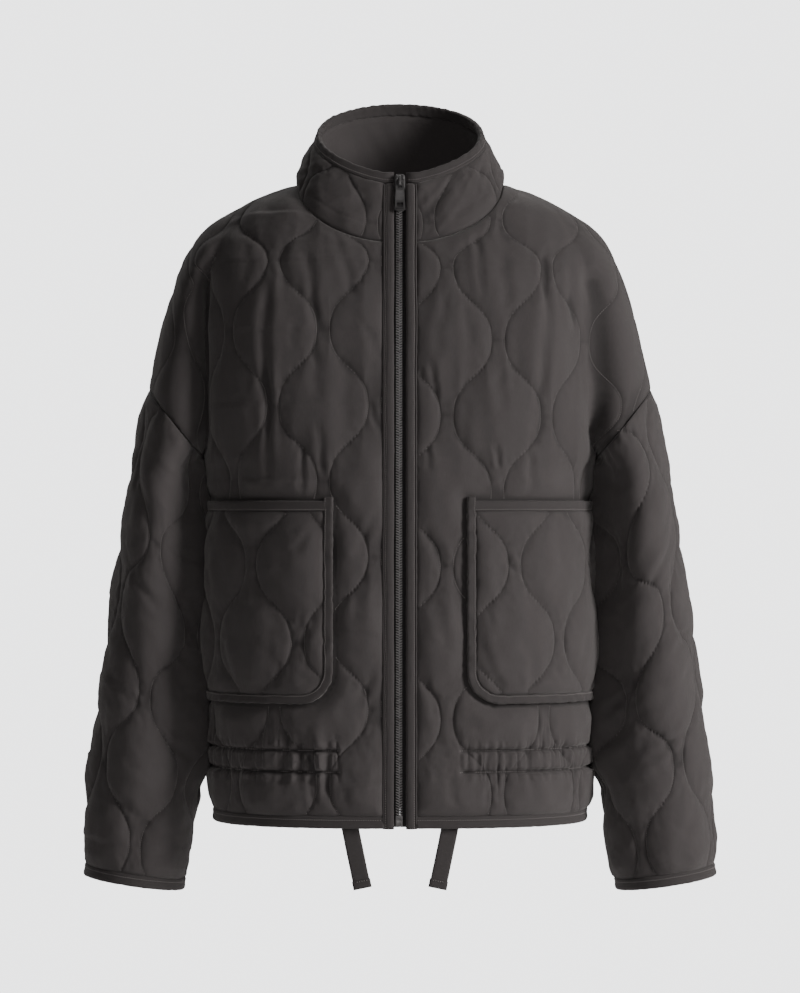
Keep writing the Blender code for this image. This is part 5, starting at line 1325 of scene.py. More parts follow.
# %% Pockets
POCKET_CLEAR, POCKET_WALL = 0.4, 2.6
POCKET_BASE = POCKET_CLEAR + POCKET_WALL
CREASES_POCKET_LEFT = [
    (73, -430, 92, -478, 5.0, 2.0), (98, -352, 108, -372, 4.0, 1.5), (80, -402, 84, -420, 3.5, 1.3),
    (150, -330, 158, -372, 7.0, 1.2), (190, -420, 182, -462, 6.0, 1.2), (120, -440, 126, -476, 6.0, 1.2),
]
CREASES_POCKET_RIGHT = [
    (84, -330, 96, -352, 5.0, 1.4), (78, -408, 90, -440, 5.0, 1.6), (132, -360, 138, -402, 7.0, 1.3),
    (176, -430, 168, -470, 6.0, 1.4), (110, -452, 118, -478, 4.5, 1.4), (200, -350, 196, -400, 7.0, 1.2),
]


def build_pocket(name, start, neck_at, line_seed, seed, table, mirrored):
    quilting = Quilting(start, neck_at, 60.0, 270.0, POCKET_LOW, POCKET_TOP, seed=line_seed)
    lift, outline, rim = lift_body(FRONT), POCKET_CLOTH, len(POCKET_CLOTH)

    def height_of(points):
        soft = soft_height(points, outline, quilting, seed, chest=0.0, table=table)
        return POCKET_BASE + np.maximum(soft, -0.8)

    flat, faces = cut_cloth(quilting, outline, 1.4)
    height = height_of(flat)
    height[:rim] = POCKET_BASE
    under, under_faces = cut_cloth(quilting, outline, LINING_MARGIN, LINING_COLUMNS, 9.0)
    bottom = lift(under, np.full(len(under), POCKET_CLEAR))
    sewn_piece(name, outline, (lift(flat, height), faces, flat, height - POCKET_BASE, quilting.on_line(flat)),
               (bottom, under_faces, under), mirrored)
    sew(name + "_stitches", quilting.stitch_lines(lambda p: inside(p, outline, 2.0)),
        lambda p: lift(p, height_of(p)), outward_on(lift), mirrored)


build_pocket("pocket_left", 83.0, -363.0, 3.0, 63.1, CREASES_POCKET_LEFT, False)
build_pocket("pocket_right", 71.0, -434.0, 6.0, 71.7, CREASES_POCKET_RIGHT, True)
print("pockets stand", POCKET_BASE, "mm off the fronts")

# %% [markdown]
# The stand collar rises from the neckline and leans in. Its two long edges are known curves, so it is the
# surface ruled between them, quilted outside and plain inside.

# %% The neckline in space
def neck_half():
    rows = []
    for form in (FRONT, BACK):
        flat = np.array([(u, float(drape(z))) for u, z in neckline(form)])
        outer, inner = lift_body(form)(flat, 0.0), lift_body(form)(flat, -WALL)
        if form is FRONT:
            outer[0, 0] = inner[0, 0] = EDGE_X
        outer[-1, 1] = inner[-1, 1] = 0
        rows.append((outer, inner))
    outer, inner = (np.concatenate([rows[0][k], rows[1][k][:-1][::-1]]) for k in (0, 1))
    outer[-1, 0] = inner[-1, 0] = 0
    onward = unit(np.cross(unit(np.gradient(outer, axis=0)), outer - inner))
    onward *= np.sign(onward[:, 2:] + 1e-9)
    onward[0, 0] = onward[-1, 0] = 0
    return outer, inner, onward


NECK_OUT, NECK_IN, NECK_ON = neck_half()
NECK_ALONG = run_length(NECK_OUT)
NECK_LENGTH = float(NECK_ALONG[-1])
print("neckline:", round(2 * NECK_LENGTH), "mm round")

# %% The collar's top edge
COLLAR_HALF, COLLAR_MIDDLE_Y, COLLAR_DEEP = 78.0, -5.0, 63.0
COLLAR_FRONT_Z, COLLAR_RISE, COLLAR_CURVE, COLLAR_HEIGHT = 5.0, 78.0, 0.8, 70.0


def collar_top_half(shares):
    angle = np.linspace(-math.acos(EDGE_X / COLLAR_HALF), math.pi / 2, 400)
    z = COLLAR_FRONT_Z + COLLAR_RISE * ((1 + np.sin(angle)) / 2) ** COLLAR_CURVE
    path = np.stack([COLLAR_HALF * np.cos(angle), COLLAR_MIDDLE_Y + COLLAR_DEEP * np.sin(angle), z], 1)
    along = run_length(path)
    return on_path(path, along, shares * along[-1])


NECK_TOP = collar_top_half(NECK_ALONG / NECK_LENGTH)
NECK_UP = unit(NECK_TOP - NECK_OUT)
COLLAR_EDGE = NECK_TOP - NECK_UP * (BIND + SEAM)
print("front corner:", COLLAR_EDGE[0].round(1))


# %% The collar's surface
def round_neck(table, a):
    value = on_path(table, NECK_ALONG, NECK_LENGTH - np.abs(a))
    value[:, 0] *= np.where(a < 0, -1, 1)
    return value


def collar_place(flat):
    low = round_neck(NECK_OUT + NECK_ON * SEAM, flat[:, 0])
    return low + (round_neck(COLLAR_EDGE, flat[:, 0]) - low) * (flat[:, 1] / COLLAR_HEIGHT)[:, None]


def collar_normal(flat):
    a = np.clip(flat[:, 0], -NECK_LENGTH + 3, NECK_LENGTH - 3)
    b = flat[:, 1]
    across = collar_place(np.stack([a + 3, b], 1)) - collar_place(np.stack([a - 3, b], 1))
    rise = collar_place(np.stack([a, a * 0 + COLLAR_HEIGHT], 1)) - collar_place(np.stack([a, a * 0], 1))
    normal = turned_to(unit(np.cross(across, rise)), collar_place(flat) * [1, 1, 0])
    normal[np.abs(flat[:, 0]) > NECK_LENGTH - 0.1, 0] = 0
    return unit(normal)


print("middle of the back:", collar_place(np.array([[0.0, COLLAR_HEIGHT / 2]])).round(1)[0])


# %% The collar
COLLAR_STEP = 2.2


def collar_outline():
    base = spaced(NECK_LENGTH, -NECK_LENGTH, COLLAR_STEP) + [-NECK_LENGTH]
    edge = spaced(0.0, COLLAR_HEIGHT, COLLAR_STEP)[1:]
    return ([(a, 0.0) for a in base] + [(-NECK_LENGTH, b) for b in edge]
            + [(a, COLLAR_HEIGHT) for a in base[::-1]] + [(NECK_LENGTH, b) for b in edge[::-1]]), len(base)


def build_collar(quilting, seed):
    outline, base = collar_outline()

    def height_of(points):
        height = 0.72 * soft_height(points, outline, quilting, seed, chest=0.0)
        slouch = np.stack([points[:, 0] + 1.2 * points[:, 1], points[:, 1]], 1)
        height += 1.7 * ripple(slouch, 26.0, 150.0, seed + 6, 2) * seam_rise(points, outline, 18)
        return np.maximum(height, -0.8)

    def surface(points):
        return collar_place(points) + collar_normal(points) * height_of(points)[:, None]

    flat, faces = cut_cloth(quilting, outline, 1.3, row=2.2)
    height = height_of(flat)
    height[: len(outline)] = 0
    outer = collar_place(flat) + collar_normal(flat) * height[:, None]
    lining = [(a + 3 * (r % 2), b) for r, b in enumerate(np.arange(4, COLLAR_HEIGHT, 5.0))
              for a in np.arange(-NECK_LENGTH + 4, NECK_LENGTH - 4, 6.0)]
    inner_flat, inner_faces = triangulate(outline, [p for p in lining if inside([p], outline, 3.0)[0]])
    soft = np.clip(edge_distance(inner_flat, outline) / 14, 0, 1)
    tilt = np.stack([inner_flat[:, 0] + 0.8 * inner_flat[:, 1], inner_flat[:, 1]], 1)
    sag = soft * (0.6 + 1.6 * ripple(tilt, 26, 60, seed + 9, 2))
    inner = collar_place(inner_flat) - collar_normal(inner_flat) * (WALL + sag)[:, None]
    inner[:base] = round_neck(NECK_IN + NECK_ON * SEAM, inner_flat[:base, 0])
    sewn_piece("collar", outline, (outer, faces, flat, height, quilting.on_line(flat)),
               (inner, inner_faces, inner_flat), lining=SHELL)
    sew("collar_stitches", quilting.stitch_lines(lambda p: inside(p, outline, 2.0)), surface, collar_normal)


build_collar(Quilting(-24.0, 20.0, -NECK_LENGTH, NECK_LENGTH, 0, COLLAR_HEIGHT, seed=8.0), 83.3)

# %% [markdown]
# Bindings: a strip folded round each raw edge and sewn down. A curve with a bevel profile would give a smooth
# tube, so the folded section is carried along the edge point by point, and ripples and twists a little.

# %% A folded section
OVERLAP = 1.7  # how far a binding reaches over the raw edge that it holds
BIND_STITCH_AT = 1.4
SECTION_ROWS = 22


def rolled(width, low, high, rows=SECTION_ROWS, stitch_at=2.2, both=True, over=OVERLAP):
    """A folded strip's section, (across, out) pairs round it, dented where the stitches pull it in."""
    turn = np.arange(rows) * 2 * math.pi / rows
    c, s = np.cos(turn), np.sin(turn)
    across = (width + over) / 2 * (1 - np.sign(c) * np.abs(c) ** 0.5) - over
    middle, half = (low + high) / 2, (high - low) / 2
    out = middle + half * np.sign(s) * np.abs(s) ** 0.6
    dent = 0.75 * np.exp(-(((across - stitch_at) / 1.0) ** 2)) * np.sign(s) * (both | (s > 0))
    return np.stack([across, out - dent], 1)


EDGE_SECTION = rolled(BIND, -BIND_IN, BIND_OUT)
print("edge binding:", np.ptp(EDGE_SECTION, axis=0).round(1), "mm")


# %% A section along a path
def carried(section, along, seed, unevenness, twist):
    middle, rings = section.mean(0), []
    for length in along:
        lean_over = twist * noise.noise(Vector((length / 16.0, seed, 3.0)))
        c, s = math.cos(lean_over), math.sin(lean_over)
        ring = []
        for j, (a, o) in enumerate(section):
            da, do = a - middle[0], o - middle[1]
            slant = (length + 0.9 * a) / 5.5
            bump = unevenness * noise.noise(Vector((slant, a / 9.0 + (o > middle[1]) * 5.0, seed)))
            bump += 0.6 * unevenness * noise.noise(Vector((length / 19.0, j * 0.2, seed + 9.0)))
            grow = 1 + bump / max(math.hypot(da, do), 1.0)
            ring.append((middle[0] + (da * c - do * s) * grow, middle[1] + (da * s + do * c) * grow))
        rings.append(ring)
    return np.array(rings)


print("ring points:", len(carried(EDGE_SECTION, [0.0], 1.0, 0.3, 0.0)[0]))


# %% Strips
def sew_strip(name, points, section, outward, stitch_at, mirrored):
    low, high = section[:, 1].min(), section[:, 1].max()
    under = section[:, 1] < low + 0.35 * (high - low)
    row = points[:, int(np.argmin(np.abs(section[:, 0] - stitch_at) + 99.0 * under))]
    starts, ends = stitch_run(row)
    nearest = np.clip(np.searchsorted(run_length(row), np.arange(len(starts)) * STITCH_PITCH), 0, len(row) - 1)
    stitches(name + "_stitches", starts, ends, outward[nearest], mirrored)


def strip(name, path, outward, across, section, node, seed, closed=False, mirrored=False, unevenness=0.3, twist=0.0,
          stitch_at=None, material=BINDING):
    """A section carried along a path. `unevenness` ripples it and `twist` leans it over in turns."""
    along = run_length(np.concatenate([path, path[:1]]))[:-1] if closed else run_length(path)
    n, m = len(path), len(section)
    rings = carried(section, along, seed, unevenness, twist)
    points = path[:, None] + across[:, None] * rings[..., :1] + outward[:, None] * rings[..., 1:]
    if stitch_at is not None:
        sew_strip(name, points, section, outward, stitch_at, mirrored)
    mesh = bpy.data.meshes.new(name)
    around = run_length(np.concatenate([section, section[:1]]))
    faces, uv = [], []
    for i in range(n if closed else n - 1):
        here, there = along[i], along[i + 1] if i + 1 < n else along[i] + 2.0
        first, second = i * m, (i + 1) % n * m
        for j in range(m):
            k = (j + 1) % m
            faces.append((first + j, first + k, second + k, second + j))
            uv += [(here, around[j]), (here, around[j + 1]), (there, around[j + 1]), (there, around[j])]
    if not closed:
        faces += [tuple(range(m))[::-1], tuple((n - 1) * m + j for j in range(m))]
        uv += [(along[0] + o, a) for a, o in section[::-1]] + [(along[-1] + o, a) for a, o in section]
    mesh.from_pydata([tuple(p) for p in in_metres(points.reshape(-1, 3), mirrored)], [], faces)
    mesh.uv_layers.new(name="cut").data.foreach_set("uv", (np.array(uv) * MM).ravel())
    mesh.materials.append(material)
    turn_outwards(mesh)
    return on_jacket(name, mesh, node)


def resampled(path, step, closed=False):
    path = np.asarray(path, float)
    if closed:
        path = np.concatenate([path, path[:1]])
    along = run_length(path)
    even = on_path(path, along, np.linspace(0, along[-1], max(2, int(round(along[-1] / step)) + 1)))
    return even[:-1] if closed else even


BIND_STEP = 2.0
print("strips:", BIND_STEP, "mm from ring to ring")

# %% [markdown]
# The hem's binding runs from one front edge round to the other, and each cuff's is a closed ring. Both point
# straight out of the raw edge.

# %% Hem binding
front_u = np.linspace(FRONT.u_at_x(EDGE_X, HEM_Z), FRONT.end(HEM_Z), 130)
back_u = np.linspace(BACK.end(HEM_Z), 0, 130)
half = np.concatenate([FRONT.place(front_u, front_u * 0 + HEM_Z)[:-1], BACK.place(back_u, back_u * 0 + HEM_Z)[1:]])
half[0, 0] = EDGE_X
path = resampled(np.concatenate([half, half[:-1][::-1] * [-1, 1, 1]]), BIND_STEP)
path[:, 2] = HEM_Z - SEAM
step = np.gradient(path, axis=0)
normal = turned_to(unit(np.stack([step[:, 1], -step[:, 0], 0 * step[:, 0]], 1)), path - path.mean(0))
normal[0], normal[-1] = [0, -1, 0], [0, -1, 0]
down = np.tile([0, 0, -1.0], (len(path), 1))
strip("hem_binding_folded", path, normal, down, EDGE_SECTION, "hem_binding", 5.0, stitch_at=BIND_STITCH_AT)
print("hem binding:", round(run_length(path)[-1]), "mm long")


# %% Cuff bindings
def build_cuff_binding(name, mirrored, seed):
    a = np.array(spaced(-HALF_GIRTH, HALF_GIRTH, BIND_STEP))
    path = sleeve_place(np.stack([a, a * 0 - SLEEVE_LENGTH], 1))
    path -= ((path - CUFF_POINT) @ CUFF_NORMAL)[:, None] * CUFF_NORMAL + CUFF_NORMAL * SEAM
    path = resampled(path, BIND_STEP, True)
    normal = unit(np.cross(np.roll(path, -1, 0) - np.roll(path, 1, 0), CUFF_NORMAL))
    down = np.tile(-CUFF_NORMAL, (len(path), 1))
    strip(name + "_folded", path, turned_to(normal, path - path.mean(0)), down, EDGE_SECTION, name, seed, True,
          mirrored, stitch_at=BIND_STITCH_AT)
    print(name, round(run_length(path)[-1]), "mm round")


build_cuff_binding("cuff_binding_left", False, 21.0)
build_cuff_binding("cuff_binding_right", True, 27.0)

# %% [markdown]
# The collar's binding follows its top edge and reaches a little past its ends, towards the slider.

# %% Collar binding
BINDING_X = 5.7
a = np.array(spaced(-NECK_LENGTH, NECK_LENGTH, BIND_STEP) + [NECK_LENGTH])
path = round_neck(COLLAR_EDGE + NECK_UP * 2 * SEAM, a)
up = unit(round_neck(NECK_UP, a))
normal = collar_normal(np.stack([a, a * 0 + COLLAR_HEIGHT], 1))
ends = path[[0, -1]].copy()
ends[:, 0] = np.sign(ends[:, 0]) * BINDING_X
path = np.concatenate([ends[:1], path, ends[1:]])
up, normal = (np.concatenate([v[:1], v, v[-1:]]) for v in (up, normal))
strip("collar_binding_folded", path, normal, up, EDGE_SECTION, "collar_binding", 15.0, stitch_at=BIND_STITCH_AT,
      unevenness=0.75)
print("collar binding:", round(run_length(path)[-1]), "mm long")

# %% [markdown]
# A pocket's top is bound first; then one strip runs down the inner side and along the bottom. Both are set in
# by a hair, so that the cloth's edge doesn't peep out.

# %% Pocket bindings
BINDING_SET_IN, BINDING_EASE, POCKET_STITCH_IN = 1.1, 0.6, 1.8
LIES_AT = 0.5


def on_front(flat):
    lift = lift_body(FRONT)
    step = unit(np.gradient(flat, axis=0))
    side = np.stack([-step[:, 1], step[:, 0]], 1)
    return lift(flat, 0.0), outward_on(lift)(flat), unit(lift(flat + side, 0.0) - lift(flat - side, 0.0))


def pocket_strip(name, node, flat, way, width, high, seed, mirrored, **uneven):
    """A folded strip on the front along a flat path; `way` is 1 or -1, the side of the path that it covers."""
    points, outward, across = on_front(resampled(flat, BIND_STEP))
    width -= BINDING_EASE
    section = rolled(width, LIES_AT, high, 18, width - POCKET_STITCH_IN, both=False, over=0) + [BINDING_SET_IN, 0]
    strip(name, points, outward, way * across, section, node, seed, mirrored=mirrored,
          stitch_at=width - POCKET_STITCH_IN + BINDING_SET_IN, **uneven)
    print(name, round(run_length(points)[-1]), "mm long")


def build_pocket_binding(name, mirrored, seed):
    left, right = POCKET_IN, POCKET_EDGE[0][0]
    top = [(left + 1.0, POCKET_TOP), (right, POCKET_TOP)]
    pocket_strip(name + "_top", name, top, -1, POCKET_BIND_TOP, 4.7, seed, mirrored, unevenness=0.35)
    corner = next(i for i, p in enumerate(POCKET_EDGE) if abs(p[0] - left) < 1e-6)
    rest = [(left, POCKET_TOP + 2.5)] + [p for p in POCKET_EDGE[corner:] if p[1] < POCKET_TOP - 3]
    pocket_strip(name + "_round", name, rest, 1, POCKET_BIND_SIDE, 5.0, seed + 5, mirrored, unevenness=1.0,
                 twist=0.35)


build_pocket_binding("pocket_binding_left", False, 33.0)
build_pocket_binding("pocket_binding_right", True, 39.0)

# %% [markdown]
# Each front is finished with a folded facing: a soft roll beside the zip, a groove where it is sewn down, and a
# thin piped ridge. It is one strip with a section of its own, from the hem to the collar's top.

# %% The front line
TAPE_IN, TAPE_THICK = 3.3, 1.0
FRONT_BIND_OUT, FRONT_BIND_IN = 2.5, 3.0
ZIP_LOW = HEM_Z - SEAM - BIND


def front_line(heights):
    low, high = NECK_OUT[0], COLLAR_EDGE[0]
    u = np.array([FRONT.u_at_x(EDGE_X, min(z, low[2])) for z in heights])
    body = FRONT.place(u, np.minimum(heights, low[2]))
    share = np.clip((heights - low[2]) / (high[2] - low[2]), 0, 1.3)
    y = np.where(share > 0, low[1] + (high[1] - low[1]) * share, body[:, 1])
    return np.stack([0 * y, y, heights], 1)


def front_frame(heights):
    heights = np.asarray(heights, float)
    step = unit(front_line(heights + 3.0) - front_line(heights - 3.0))
    out = np.stack([0 * step[:, 0], -step[:, 2], step[:, 1]], 1)
    return front_line(heights), out, np.tile([-1.0, 0, 0], (len(heights), 1))


print("zip's foot:", front_line(np.array([ZIP_LOW])).round(1)[0])


# %% Front edges
FACING_OVER = 1.2


def facing_section():
    ridge, roll = 1.9, EDGE_X - SEAM - BINDING_X + FACING_OVER
    across = np.concatenate([np.linspace(0, ridge, 6), np.linspace(ridge + 0.25, roll, 16)])
    a = across[:6] / ridge
    b = (across[6:] - ridge) / (roll - ridge)
    ridge_out = 0.5 + 1.3 * np.sqrt(np.maximum(1 - (2 * a - 1) ** 2, 0))
    roll_out = 0.3 + (FRONT_BIND_OUT - 0.1) * np.clip(4 * b * (1 - b) + 0.12 * b, 0, 1) ** 0.42
    top = np.stack([across, np.concatenate([ridge_out, roll_out])], 1)
    under = [(roll + 0.2, -1.2), (roll - 0.6, -FRONT_BIND_IN), (roll * 0.5, -FRONT_BIND_IN), (0.4, -FRONT_BIND_IN)]
    return np.concatenate([top, under])


def build_front_edge(side, mirrored, seed):
    heights = np.arange(ZIP_LOW, float(COLLAR_EDGE[0, 2]) - SEAM, 2.4)
    path, out, inward = front_frame(heights)
    drift = np.array([noise.noise(Vector((z / 55, seed, 0))) for z in heights])[:, None] * [0.7, 0, 0]
    name = "front_binding_" + side
    strip(name + "_folded", path + drift + [EDGE_X - SEAM + FACING_OVER, 0, 0], out, inward, facing_section(), name,
          seed, mirrored=mirrored, unevenness=0.28, stitch_at=2.5)
    print(name, round(run_length(path)[-1]), "mm long")


build_front_edge("left", False, 51.0)
build_front_edge("right", True, 57.0)

# %% [markdown]
# Teeth are moulded plastic and the slider is painted metal: dark and fairly smooth, a little cloudy, with a
# fine grain. The tape is a coarse, almost black weave.

# %% Zip finishes
def hard_finish(name, colour, rough, grain, metal=0.0):
    material, tree, surface = start_material(name)
    place = Shade(tree, tree.nodes.new("ShaderNodeTexCoord").outputs["Object"])
    cloudy = place.node("ShaderNodeTexNoise", Scale=260.0, Detail=3.0)
    fine = place.node("ShaderNodeTexNoise", Scale=2600.0, Detail=2.0)
    tone = 1.0 + (cloudy - 0.5) * 0.5 + (fine - 0.5) * 0.3
    drive(tree, surface, tone, colour, rough + (cloudy - 0.5) * 0.25, (0.4, grain, fine))
    set_inputs(surface, Metallic=metal)
    return material


TEETH = hard_finish("moulded_teeth", (0.125, 0.117, 0.115), 0.30, 0.02)
PAINTED = hard_finish("painted_zip_metal", (0.105, 0.099, 0.098), 0.40, 0.03, metal=0.35)
TAPE = cloth_material("zip_tape_weave", (0.020, 0.018, 0.018), thread=0.9, slub=0.05, bump=0.3, rough=0.8,
                      sheen=0.1)
print("zip finishes:", TEETH.name, PAINTED.name, TAPE.name)

# %% [markdown]
# Two woven tapes lie behind the facings, from the foot up to the slider. A tape is thicker along its edge,
# where the teeth are woven in, so it is one more strip with its own section.

# %% Zip tapes
SLIDER_Z, SLIDER_HALF_LENGTH, SLIDER_HALF_WIDTH = -4.0, 8.5, 4.8
TAPE_WIDE, TAPE_LIES_AT = EDGE_X - 1.0, EDGE_X - 0.5


def build_tape(side, mirrored, seed):
    path, out, inward = front_frame(np.arange(ZIP_LOW + 1.2, SLIDER_Z - SLIDER_HALF_LENGTH - SEAM, 3.0))
    wide, low, high = TAPE_WIDE, -TAPE_IN - TAPE_THICK, -TAPE_IN
    section = np.array([(0, low), (0.2, high), (wide * 0.5, high - 0.1), (wide - 0.8, high), (wide, high + 0.45),
                        (wide + 0.4, high - 0.2), (wide, low), (wide * 0.5, low)])
    name = "zip_tape_" + side
    strip(name + "_woven", path + [TAPE_LIES_AT, 0, 0], out, inward, section, name, seed, mirrored=mirrored,
          unevenness=0.05, material=TAPE)
    print(name, round(run_length(path)[-1]), "mm long")


build_tape("left", False, 61.0)
build_tape("right", True, 67.0)

# %% [markdown]
# Hard pieces are shaped as by hand: a cube is added at its size, its edges and faces are chosen by their place
# or direction, then bevelled, inset, moved or bridged.

# %% Starting a hard piece
def start_cube(name, size, middle=(0, 0, 0)):
    """A box of this size in millimetres, alone selected."""
    bpy.ops.object.select_all(action="DESELECT")
    bpy.ops.mesh.primitive_cube_add(size=1.0, location=[c * MM for c in middle])
    cube = bpy.context.active_object
    cube.name = name
    cube.scale = [s * MM for s in size]
    bpy.ops.object.transform_apply(location=True, rotation=True, scale=True)
    return cube


def choose(piece, kind, test):
    """Selects the parts whose middle, in millimetres, and direction pass a test."""
    bpy.context.tool_settings.mesh_select_mode = (kind == "VERT", kind == "EDGE", kind == "FACE")
    shape = bmesh.from_edit_mesh(piece.data)
    for group in (shape.verts, shape.edges, shape.faces):
        for part in group:
            part.select = False
    for part in {"VERT": shape.verts, "EDGE": shape.edges, "FACE": shape.faces}[kind]:
        if kind == "VERT":
            middle, way = part.co, part.normal
        elif kind == "EDGE":
            middle, way = (part.verts[0].co + part.verts[1].co) / 2, part.verts[1].co - part.verts[0].co
        else:
            middle, way = part.calc_center_median(), part.normal
        if test(middle / MM, way.normalized()):
            part.select_set(True)
    shape.select_flush_mode()
    bmesh.update_edit_mesh(piece.data)


def edit(on):
    bpy.ops.object.mode_set(mode="EDIT" if on else "OBJECT")


def bevel_chosen(width, segments):
    bpy.ops.mesh.bevel(offset=width * MM, segments=segments, affect="EDGES")


def inset_chosen(thickness, depth=0.0, each=False):
    bpy.ops.mesh.inset(thickness=thickness * MM, depth=depth * MM, use_individual=each)


print("a millimetre is", MM, "of Blender's units")

# %% Placing and joining
def place_of(at, out, sign=1):
    """A matrix that stands a piece made at the origin on the front line, in millimetres; -1 turns it over."""
    across, up = (sign, 0, 0), (0, out[2], -out[1])
    return Matrix([(across[k], up[k], out[k], at[k] * MM) for k in range(3)] + [(0, 0, 0, 1)])


def only(piece):
    bpy.ops.object.select_all(action="DESELECT")
    piece.select_set(True)
    bpy.context.view_layer.objects.active = piece


def joined(name, pieces):
    only(pieces[0])
    for piece in pieces:
        piece.select_set(True)
    if len(pieces) > 1:
        bpy.ops.object.join()
    whole = bpy.context.view_layer.objects.active
    whole.name = name
    bpy.ops.object.transform_apply(location=True, rotation=True, scale=True)
    return whole


def finish_hard(piece, material, body, node):
    piece.data.materials.clear()
    piece.data.materials.append(material)
    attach(piece, body)
    if node:
        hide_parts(node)
    box = [piece.matrix_world @ Vector(corner) for corner in piece.bound_box]
    print(piece.name, "faces:", len(piece.data.polygons), "z from", round(min(c.z for c in box), 4))


print("slider's place:", front_line(np.array([SLIDER_Z])).round(1)[0])

# %% [markdown]
# The teeth lock together as slanting pairs. One is made from a cube, with its inner end pulled down, and copied
# up both tapes, turned over for the second.

# %% One tooth
TOOTH = (3.4, 1.25, 2.6)  # across the tape, up, out
TOOTH_EDGE, TOOTH_SLANT = 0.36, 1.5
tooth = start_cube("tooth", TOOTH)
edit(True)
choose(tooth, "EDGE", lambda at, way: abs(at.z) > 1.2 or at.x > 1.7)
bevel_chosen(TOOTH_EDGE, 1)
choose(tooth, "VERT", lambda at, way: at.x > 1.0)
bpy.ops.transform.translate(value=(0, -TOOTH_SLANT * MM, 0))
edit(False)
print("one tooth has", len(tooth.data.polygons), "faces")

# %% Two rows of teeth
TOOTH_PITCH, CHAIN_SHIFT, CHAIN_LOW = 2.45, -0.9, ZIP_LOW + 11.0
CHAIN_TOP = SLIDER_Z - SLIDER_HALF_LENGTH + 2.0
TOOTH_ASIDE, TOOTH_BACK = 1.35, -1.5
teeth = []
for sign, offset in ((1, 0.0), (-1, TOOTH_PITCH / 2)):
    path, out, _ = front_frame(np.arange(CHAIN_LOW + 1 + offset, CHAIN_TOP, TOOTH_PITCH))
    for at, forward in zip(path, out):
        copy = new_object("tooth_copy", tooth.data.copy())
        at = at + [CHAIN_SHIFT - sign * TOOTH_ASIDE, 0, 0] + forward * TOOTH_BACK
        copy.matrix_world = place_of(at, forward, sign)
        teeth.append(copy)
bpy.data.objects.remove(tooth)
chain = joined("zip_teeth", teeth)
edit(True)
bpy.ops.mesh.select_all(action="SELECT")
bpy.ops.mesh.normals_make_consistent(inside=False)
edit(False)
finish_hard(chain, TEETH, "jacket", "zip_chain")
print("teeth:", len(teeth))

# %% [markdown]
# The pin and box that the last teeth run into: a plain block with soft edges.

# %% Foot of the zip
FOOT, FOOT_BELOW, FOOT_BACK = (6.6, 9.6, 3.0), 4.0, -1.7
path, out, _ = front_frame([CHAIN_LOW - FOOT_BELOW])
foot = start_cube("zip_foot", FOOT)
edit(True)
bevel_chosen(0.5, 2)
choose(foot, "FACE", lambda at, way: way.z > 0.9 and abs(at.x) < 2)
inset_chosen(0.7, -0.35)
edit(False)
foot.matrix_world = place_of(path[0] + [CHAIN_SHIFT, 0, 0] + out[0] * FOOT_BACK, out[0])
foot = joined("zip_foot", [foot])
foot.data.shade_smooth()
finish_hard(foot, TEETH, "jacket", None)

# %% [markdown]
# The slider: two plates held apart by a post, with flanges that hold the tapes, and a hollow bridge on the
# front. A bevel all round gives the cast look.

# %% A soft edge all round
SMOOTH_ANGLE = 0.6


def soften(piece, width, segments=2):
    bevel = piece.modifiers.new("soft_edges", "BEVEL")
    bevel.width, bevel.segments, bevel.limit_method, bevel.angle_limit = width * MM, segments, "ANGLE", SMOOTH_ANGLE
    only(piece)
    bpy.ops.object.modifier_apply(modifier=bevel.name)
    bpy.ops.object.shade_smooth_by_angle(angle=SMOOTH_ANGLE)
    return piece


print("bevelled from", round(math.degrees(SMOOTH_ANGLE)), "degrees")

# %% Slider plates
FRONT_PLATE, BACK_PLATE = (1.5, 3.6), (-5.4, -3.8)  # how far in and out each reaches


def slider_plate(low, high):
    size = (2 * SLIDER_HALF_WIDTH, 2 * SLIDER_HALF_LENGTH, high - low)
    plate = start_cube("slider_plate", size, (0, 0, (low + high) / 2))
    edit(True)
    choose(plate, "EDGE", lambda at, way: abs(way.z) > 0.9 and at.y > 0)
    bevel_chosen(3.3, 5)
    choose(plate, "EDGE", lambda at, way: abs(way.z) > 0.9 and at.y < -8)
    bevel_chosen(1.3, 3)
    choose(plate, "VERT", lambda at, way: at.y < -6)
    bpy.ops.transform.resize(value=(0.8, 1, 1), center_override=(0, 0, 0))
    if low > 0:
        choose(plate, "FACE", lambda at, way: way.z > 0.9)
        inset_chosen(1.5)
        inset_chosen(0.25, -0.9)
    edit(False)
    return soften(plate, 0.45)


parts = [slider_plate(*FRONT_PLATE), slider_plate(*BACK_PLATE)]
print("plate faces:", [len(plate.data.polygons) for plate in parts])

# %% Flanges, shoulders and post
FLANGE, SHOULDER, POST = (0.9, 11.0, 1.7), (2.3, 4.6, 1.5), (3.0, 5.0, 5.6)
FLANGE_AT = (SLIDER_HALF_WIDTH - FLANGE[0] / 2, 0.6, 0.9)
SHOULDER_AT, POST_AT = (3.1, 5.0, 3.9), (0, 5.2, -1.1)
for side in (-1, 1):
    parts.append(soften(start_cube("slider_flange", FLANGE, (side * FLANGE_AT[0], *FLANGE_AT[1:])), 0.2))
    parts.append(soften(start_cube("slider_shoulder", SHOULDER, (side * SHOULDER_AT[0], *SHOULDER_AT[1:])), 0.7, 3))
parts.append(soften(start_cube("slider_post", POST, POST_AT), 0.6))
print("slider parts:", len(parts))

